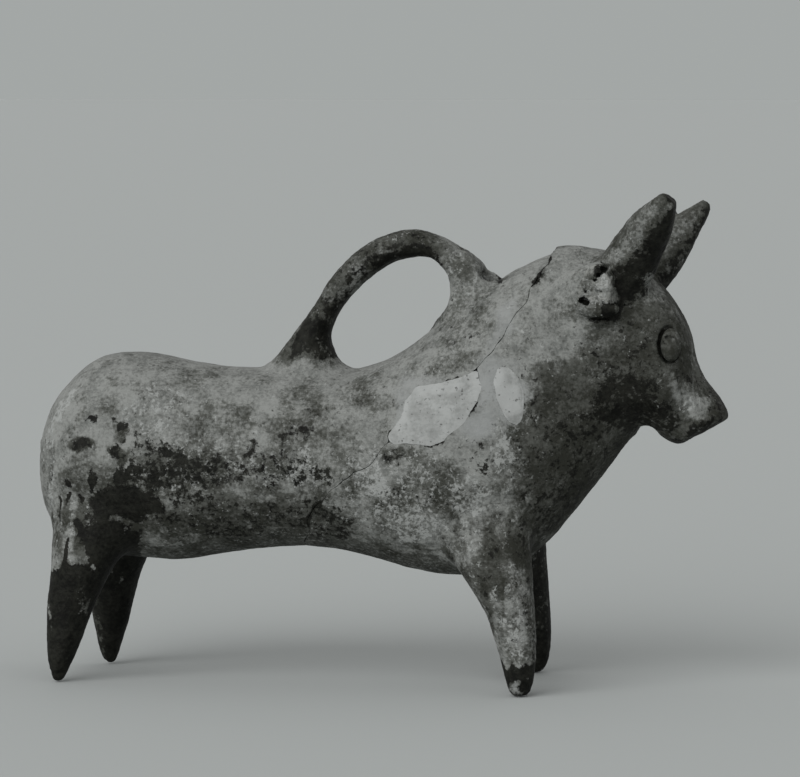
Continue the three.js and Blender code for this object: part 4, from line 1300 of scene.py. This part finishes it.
def wear(name, points, normals):
    """Slip, film, crust and smear at points of a piece with outward directions; slip and film also carry
    painted shade in places.
    """
    if name in eye_meshes:
        slip, film, crust = (np.full(len(points), value, np.float32) for value in EYE_WEAR)
        return {"slip": slip, "film": film, "crust": crust, "smear": np.zeros_like(slip)}
    x, y, z = points.T
    forwards = normals[:, 0]
    shake = [sample(field, coarse, points) for field in SHAKE]
    uneven = UNEVEN * shake[0]
    upright = sample(UPRIGHT, coarse, points)
    shares = limb_shares(points, shake)
    amounts = np.repeat(np.array([BARE], np.float32).T, len(points), axis=1)
    for limb, values in LIMB_WEAR.items():
        amounts += (np.array([values], np.float32).T - amounts) * shares[limb]
    slip, film, crust = amounts

    toes = np.zeros_like(x)
    for limb, height in TOE_HEIGHTS.items():
        start, end = -height - TOE_EDGE, -height + TOE_EDGE
        toe = ease(-z + TOE_UNEVEN * uneven + TOE_RUNS * upright, start, end)
        toes = np.maximum(toes, toe * np.maximum(shares[limb], ease(-z, *TIPS)))
    slip = np.maximum(slip, TOE_SLIP * toes)
    film = np.maximum(film, toes)
    slip -= BACK_RUBBED * shares["hind_left_leg"] * ease(-forwards, *FACING_BACK) * slip

    # surfaces that face forward, away from the light, and surfaces that face down get more slip and film:
    # partly slip that stayed there, partly painted shade
    fore = ease(x, *FORE_PART)
    front = ease(forwards, *FACING_FRONT) * (1 - LEG_LOSS * shares["front_right_leg"])
    under = ease(-normals[:, 2], *FACING_DOWN)
    slip = np.maximum(slip, on_both_sides(points, shake, SLIP_AND_SHADE_DABS))
    slip = np.maximum(slip, (FRONT_SLIP_AND_SHADE + CHEST_SLIP_AND_SHADE * ease(-z, *CHEST_TOP)) * front * fore)
    film = np.maximum(film, on_both_sides(points, shake, FILM_AND_SHADE_DABS))
    film = np.maximum(film, np.maximum(FRONT_FILM_AND_SHADE * front * fore, UNDERSIDE_FILM_AND_SHADE * under))
    crust = np.maximum(crust, on_both_sides(points, shake, CRUST_DABS)) * (1 - CRUST_LOSS * front)
    crust *= (1 - FILMED_CRUST_LOSS * ease(film, *THICK_FILM) * ease(x, *FORE_CRUST)) * (1 - toes)

    runs = upright * np.max([shares[limb] for limb in LEGS], axis=0) * ease(z, *RUNS_START)
    slip = slip + RUNS_ON_SLIP * runs
    film = film + RUNS_ON_FILM * runs
    crust = crust + RUNS_ON_CRUST * runs
    # the front of each horn, turned from the light, gets slip and film: partly slip that stayed, partly
    # painted shade
    for limb in HORN_LINES:
        past = past_horn_line(limb, x, z, forwards)
        shaded = shares[limb] * ease(past, *HORN_SLIP_EDGE)
        slip = np.maximum(slip, HORN_SLIP_AND_SHADE * shaded)
        film = np.maximum(film, HORN_FILM_AND_SHADE * shares[limb] * ease(past, *HORN_FILM_EDGE))
        crust *= 1 - shaded
    # the strap's own wear, with its dark inner side partly painted shade
    strap = shares["handle"] * ease(z + STRAP_UNEVEN * uneven + STRAP_RUNS * upright, *STRAP_START)
    amounts = np.stack([slip, film, crust])
    slip, film, crust = amounts + (strap_wear(x, z, normals, shake) - amounts) * strap

    bare = painted(x + BARE_SHAKE * shake[0], z + BARE_SHAKE * shake[1], BARE_DABS)
    bare = bare * ease(-y, *BARE_SIDE)
    by_fill = fill_line(points, shake)
    slip = np.maximum.reduce([slip * (1 - bare), by_fill, dark_lines(points)])
    film = film * (1 - FILM_LOSS * bare)
    smear = on_both_sides(points, shake, SMEAR_DABS) * ease(-y, *SMEAR_SIDE) * (1 - by_fill)
    from_small = sample(regions["small_plaster_fill"], coarse, points)
    by_small = ease(-from_small, *HALO_START) * ease(from_small, *HALO_END)
    smear = np.maximum(smear, HALO * by_small * ease(-shake[1], *HALO_GAPS))
    keep = 1 - smear
    return {"slip": slip * keep, "film": film * keep, "crust": crust * keep, "smear": smear}


TOE_PLACE = np.array([[38.4, -20.6, 2.0]], np.float32)
SIDEWAYS = np.array([[0, -1, 0]], np.float32)
on_toe = wear("front_right_leg", TOE_PLACE, SIDEWAYS)
print("wear on a toe:", {label: round(float(amount[0]), 2) for label, amount in on_toe.items()})

# %% [markdown]
# The finishes
# All the clay shares one recipe, as it did on the real pot, so that a pattern runs on from one piece into
# the next. It is a group of shader nodes, and so is the step that it uses most, the ragged edge. Everything
# is laid out in millimetres.

# %% A helper for shader groups
def group(name, inputs, outputs):
    """A new shader node group with its named sockets, and its input node's outputs."""
    kinds = {float: "NodeSocketFloat", tuple: "NodeSocketColor", type(None): "NodeSocketVector"}
    tree = bpy.data.node_groups.new(name, "ShaderNodeTree")
    for label, value in inputs.items():
        socket = tree.interface.new_socket(label, in_out="INPUT", socket_type=kinds[type(value)])
        if value is not None:
            socket.default_value = value
    for label, value in outputs.items():
        tree.interface.new_socket(label, in_out="OUTPUT", socket_type=kinds[type(value)])
    return tree, add(tree, "NodeGroupInput").outputs


print("node groups so far:", len(bpy.data.node_groups))

# %% [markdown]
# A ragged edge
# Slip comes off in flakes: large islands with a nibbled outline. Adding a coarse noise and a fine one to the
# amount and cutting the sum off at a half does the same. With an amount of 0 hardly an island is left, with 1
# hardly a gap. The softness is how wide the step is: small for slip, wide for a stain.

# %% The ragged edge
RAGGED_INPUTS = {"Place": None, "Amount": 0.5, "Size": 3.0, "Grain": 1.0, "Seed": 0.0, "Softness": 0.05}
ragged, start = group("ragged edge", RAGGED_INPUTS, {"Mask": 0.0})
PEPPER_SIZE, PEPPER_SEED = 0.8, 5.0
ISLAND_SWING, PEPPER_SWING = 1.7, 2.0
plus, minus, times, _, _, swing = sums(ragged)
islands = noise(ragged, start["Place"], start["Size"], detail=5.0, seed=start["Seed"])
peppers = noise(ragged, start["Place"], PEPPER_SIZE, detail=2.0, seed=plus(start["Seed"], PEPPER_SEED))
nibbled = plus(swing(islands, ISLAND_SWING), times(swing(peppers, PEPPER_SWING), start["Grain"]))
level = plus(start["Amount"], nibbled)
mask = step_between(ragged, level, minus(0.5, start["Softness"]), plus(0.5, start["Softness"]))
add(ragged, "NodeGroupOutput", {"Mask": mask})
print("nodes in the ragged edge:", len(ragged.nodes))


def ragged_mask(tree, vector, amount, size, grain, seed, softness):
    """Uses the ragged edge in another tree."""
    inputs = zip(RAGGED_INPUTS, (vector, amount, size, grain, seed, softness))
    return add(tree, "ShaderNodeGroup", inputs, node_tree=ragged).outputs["Mask"]


# %% [markdown]
# The worn slip
# The colour is built up in layers: bare clay with finger streaks, clouds and grit, plaster smeared over it,
# the thin film that is left of the slip, the pale crust from the ground, and last the slip that still
# holds; in places the film and slip numbers also stand for painted shade. A thick film is darker than a thin
# one. Slip and crust also stand a little proud of the clay, so the same masks go into the height.

# %% The worn slip
CLAY_COLOUR = (0.223, 0.230, 0.219, 1)
DULL_COLOUR = (0.115, 0.120, 0.113, 1)
GRIT_COLOUR = (0.035, 0.035, 0.032, 1)
FILM_COLOUR = (0.026, 0.027, 0.022, 1)
THIN_FILM_COLOUR = (0.080, 0.083, 0.075, 1)
SLIP_COLOUR = (0.003, 0.0032, 0.0024, 1)
RUBBED_SLIP_COLOUR = (0.017, 0.0175, 0.014, 1)
CRUST_COLOUR = (0.29, 0.30, 0.29, 1)
SMEAR_COLOUR = (0.25, 0.259, 0.255, 1)
STREAK_STRETCH = (0.14, 1.0, 1.0)
CLOUD_SWING, STREAK_SWING, TOOTH_SWING = 1.3, 0.6, 1.3
# the shades between which bare clay, film and slip go from their dark tone to their pale one
CLAY_TONES, FILM_TONES, SLIP_TONES = (-0.4, 0.22), (-0.3, 0.3), (-0.3, 0.45)
# how much each layer hides of what is below it, and how far streaks and clouds break it up
GRIT_SHARE, GRIT_COVER, CRUST_COVER = 0.07, 0.8, 0.85
SMEAR_COVER, SMEAR_CLOUDS = 0.25, 1.2
FILM_STREAKS, SLIP_STREAKS = 0.9, 0.3
# a film looks thin where the clay is pale and thick where there is much of it
THIN_BASE, THIN_BY_SHADE, THIN_BY_FILM = 0.2, 0.95, -0.32
CLAY_ROUGHNESS, SLIP_ROUGHNESS = 0.82, -0.22
# heights against the fine grain of the clay
SLIP_RISE, CRUST_RISE, STREAK_RISE, GRIT_DIP = 0.3, 0.5, 0.3, 0.8
worn, start = group(
    "worn slip",
    {"Place": None, "Slip": 0.5, "Film": 0.3, "Crust": 0.2, "Smear": 0.0, "Clay colour": CLAY_COLOUR},
    {"Colour": CLAY_COLOUR, "Roughness": 0.0, "Height": 0.0},
)
plus, minus, times, mix, _, swing = sums(worn)
at = start["Place"]
fingered = stretched(worn, at, STREAK_STRETCH)
streaks = noise(worn, fingered, size=1.0, detail=3.0, seed=3.0)
clouds = noise(worn, at, size=6.0, detail=4.0, seed=11.0)
tooth = noise(worn, at, size=0.9, detail=3.0, seed=12.0, roughness=0.7)
shade = plus(plus(swing(clouds, CLOUD_SWING), swing(streaks, STREAK_SWING)), swing(tooth, TOOTH_SWING))
bare = blend(worn, step_between(worn, shade, *CLAY_TONES), DULL_COLOUR, start["Clay colour"])
grit = ragged_mask(worn, at, GRIT_SHARE, size=1.9, grain=0.7, seed=71.0, softness=0.08)
bare = blend(worn, times(grit, GRIT_COVER), bare, GRIT_COLOUR)
smear = times(start["Smear"], mix(clouds, SMEAR_CLOUDS, SMEAR_COVER))
bare = blend(worn, smear, bare, SMEAR_COLOUR)
film_amount = plus(start["Film"], swing(streaks, FILM_STREAKS))
film = ragged_mask(worn, at, film_amount, size=5.0, grain=0.65, seed=21.0, softness=0.34)
thinness = plus(times(shade, THIN_BY_SHADE), mix(start["Film"], THIN_BY_FILM, THIN_BASE))
film_tone = blend(worn, step_between(worn, thinness, *FILM_TONES), FILM_COLOUR, THIN_FILM_COLOUR)
colour = blend(worn, film, bare, film_tone)
crust = ragged_mask(worn, at, start["Crust"], size=2.6, grain=0.85, seed=31.0, softness=0.18)
colour = blend(worn, times(crust, CRUST_COVER), colour, CRUST_COLOUR)
slip_amount = plus(start["Slip"], swing(streaks, SLIP_STREAKS))
slip = ragged_mask(worn, at, slip_amount, size=2.4, grain=0.65, seed=41.0, softness=0.15)
slip_tone = blend(worn, step_between(worn, shade, *SLIP_TONES), SLIP_COLOUR, RUBBED_SLIP_COLOUR)
colour = blend(worn, slip, colour, slip_tone)
rough = mix(slip, SLIP_ROUGHNESS, CLAY_ROUGHNESS)
grain = minus(plus(tooth, times(streaks, STREAK_RISE)), times(grit, GRIT_DIP))
height = plus(plus(times(slip, SLIP_RISE), times(crust, CRUST_RISE)), grain)
add(worn, "NodeGroupOutput", {"Colour": colour, "Roughness": rough, "Height": height})
print("nodes in the worn slip:", len(worn.nodes))

# %% [markdown]
# The materials
# Each slot gets its own material, and all but the plaster use the recipe above with the numbers stored on
# the mesh. They differ in how deep the grain of the clay is: fine on an eye, coarse where the ear broke off.

# %% The materials
PLASTER_COLOUR = (0.305, 0.315, 0.307, 1)
DULL_PLASTER_COLOUR = (0.222, 0.229, 0.222, 1)
FRESH_PLASTER_COLOUR = (0.325, 0.335, 0.328, 1)
SPECK_COLOUR = (0.07, 0.07, 0.065, 1)
BROKEN_CLAY_COLOUR = (0.235, 0.24, 0.226, 1)
BUMP_DEPTH = 0.00018
CLAY_SHEEN = 0.1
KNIFE_STRETCH = (0.15, 1.0, 0.6)
SPECK_SHARE = 0.1
PLASTER_TONES = (-0.25, 0.2)
PLASTER_CLOUDS, PLASTER_LINES = 1.2, 0.5
STAIN_COVER, FRESH_COVER, SPECK_COVER = 0.5, 0.8, 0.7
PLASTER_ROUGHNESS, CLOUD_ROUGHNESS = 0.78, 0.2
LINE_RISE, PLASTER_BUMP = 0.5, 0.8


def new_finish(name):
    """A material with its tree, its shader and the place on the object in mm."""
    material = bpy.data.materials.new(name)
    material.use_nodes = True
    tree = material.node_tree
    shader = tree.nodes["Principled BSDF"]
    place = add(tree, "ShaderNodeTexCoord").outputs["Object"]
    return material, tree, shader, scaled(tree, place, MM)


def coated(tree, shader, colour, roughness, height, bump):
    """Gives the shader its colour, its roughness and the fine grain that bump mapping makes of a height."""
    bumps = add(tree, "ShaderNodeBump", {"Height": height, "Distance": BUMP_DEPTH, "Strength": bump})
    tree.links.new(colour, shader.inputs["Base Color"])
    tree.links.new(roughness, shader.inputs["Roughness"])
    tree.links.new(bumps.outputs["Normal"], shader.inputs["Normal"])


def stored_mask(tree, label):
    """A number stored on the corners of the mesh."""
    return add(tree, "ShaderNodeAttribute", attribute_name=label.lower()).outputs["Fac"]


def worn_clay(name, clay=CLAY_COLOUR, bump=1.0):
    """Clay with what is left of its slip, from the numbers stored on the mesh."""
    material, tree, shader, place = new_finish(name)
    inputs = {label: stored_mask(tree, label) for label in ("Slip", "Film", "Crust", "Smear")}
    inputs |= {"Place": place, "Clay colour": clay}
    outputs = add(tree, "ShaderNodeGroup", inputs, node_tree=worn).outputs
    coated(tree, shader, outputs["Colour"], outputs["Roughness"], outputs["Height"], bump)
    shader.inputs["Specular IOR Level"].default_value = CLAY_SHEEN
    return material


def plaster_finish(name):
    """Pale plaster, scraped level, with clouds, knife lines, small dark holes and dirt at its edges."""
    material, tree, shader, at = new_finish(name)
    plus, minus, times, mix, _, swing = sums(tree)
    clouds = noise(tree, at, size=3.0, detail=5.0, seed=61.0)
    lines = noise(tree, stretched(tree, at, KNIFE_STRETCH), size=0.8, detail=2.0, seed=62.0)
    specks = ragged_mask(tree, at, SPECK_SHARE, size=1.4, grain=0.9, seed=63.0, softness=0.1)
    dirt = stored_mask(tree, "film")
    stain = ragged_mask(tree, at, dirt, size=2.6, grain=0.8, seed=64.0, softness=0.4)
    shade = plus(swing(clouds, PLASTER_CLOUDS), swing(lines, PLASTER_LINES))
    tone = step_between(tree, shade, *PLASTER_TONES)
    colour = blend(tree, tone, DULL_PLASTER_COLOUR, PLASTER_COLOUR)
    colour = blend(tree, times(stain, STAIN_COVER), colour, DULL_COLOUR)
    fresh = times(stored_mask(tree, "smear"), FRESH_COVER)
    colour = blend(tree, fresh, colour, FRESH_PLASTER_COLOUR)
    colour = blend(tree, times(specks, SPECK_COVER), colour, SPECK_COLOUR)
    height = minus(times(lines, LINE_RISE), specks)
    roughness = mix(clouds, CLOUD_ROUGHNESS, PLASTER_ROUGHNESS)
    coated(tree, shader, colour, roughness, height, PLASTER_BUMP)
    return material


finishes = {
    "body_slip": worn_clay("worn body slip"),
    "leg_slip": worn_clay("worn leg slip"),
    "handle_slip": worn_clay("worn handle slip"),
    "horn_clay": worn_clay("horn clay", bump=1.2),
    "broken_clay": worn_clay("broken clay", clay=BROKEN_CLAY_COLOUR, bump=1.6),
    "eye_clay": worn_clay("eye clay", bump=0.7),
    "plaster": plaster_finish("plaster"),
}
print("finishes:", ", ".join(finishes))

# %% [markdown]
# Handing the pieces over
# Each finished piece gets its wear numbers on its corners and the finish of its plain piece's slot, rides on
# the one body of this object, and takes the place of the plain piece it was made from, which is hidden.

# %% Hand the pieces over
SLOTS = {part["node"]: part["material_slot"] for part in frame["record"]["subparts"]}
for name, piece in pieces.items():
    count = len(piece.data.vertices)
    corners = vectors_of(piece.data.vertices, count, "co") * MM
    normals = vectors_of(piece.data.vertex_normals, count, "vector")
    for label, values in wear(name, corners, normals).items():
        store(piece.data, label, np.clip(values, 0, 1.2))
    piece.data.materials.clear()
    piece.data.materials.append(finishes[SLOTS[name]])
    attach(piece, "root")
    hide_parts(name)
print("pieces handed over:", len(pieces))

# %% [markdown]
# The sizes
# The finished pot should be as big as the plain model, so its size is printed here, to set beside the plain
# model's size printed after loading.

# %% Print the size of the finished pot
import json

low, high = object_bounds()
print("size of the finished pot in mm:", [round(1000 * side, 1) for side in high - low])
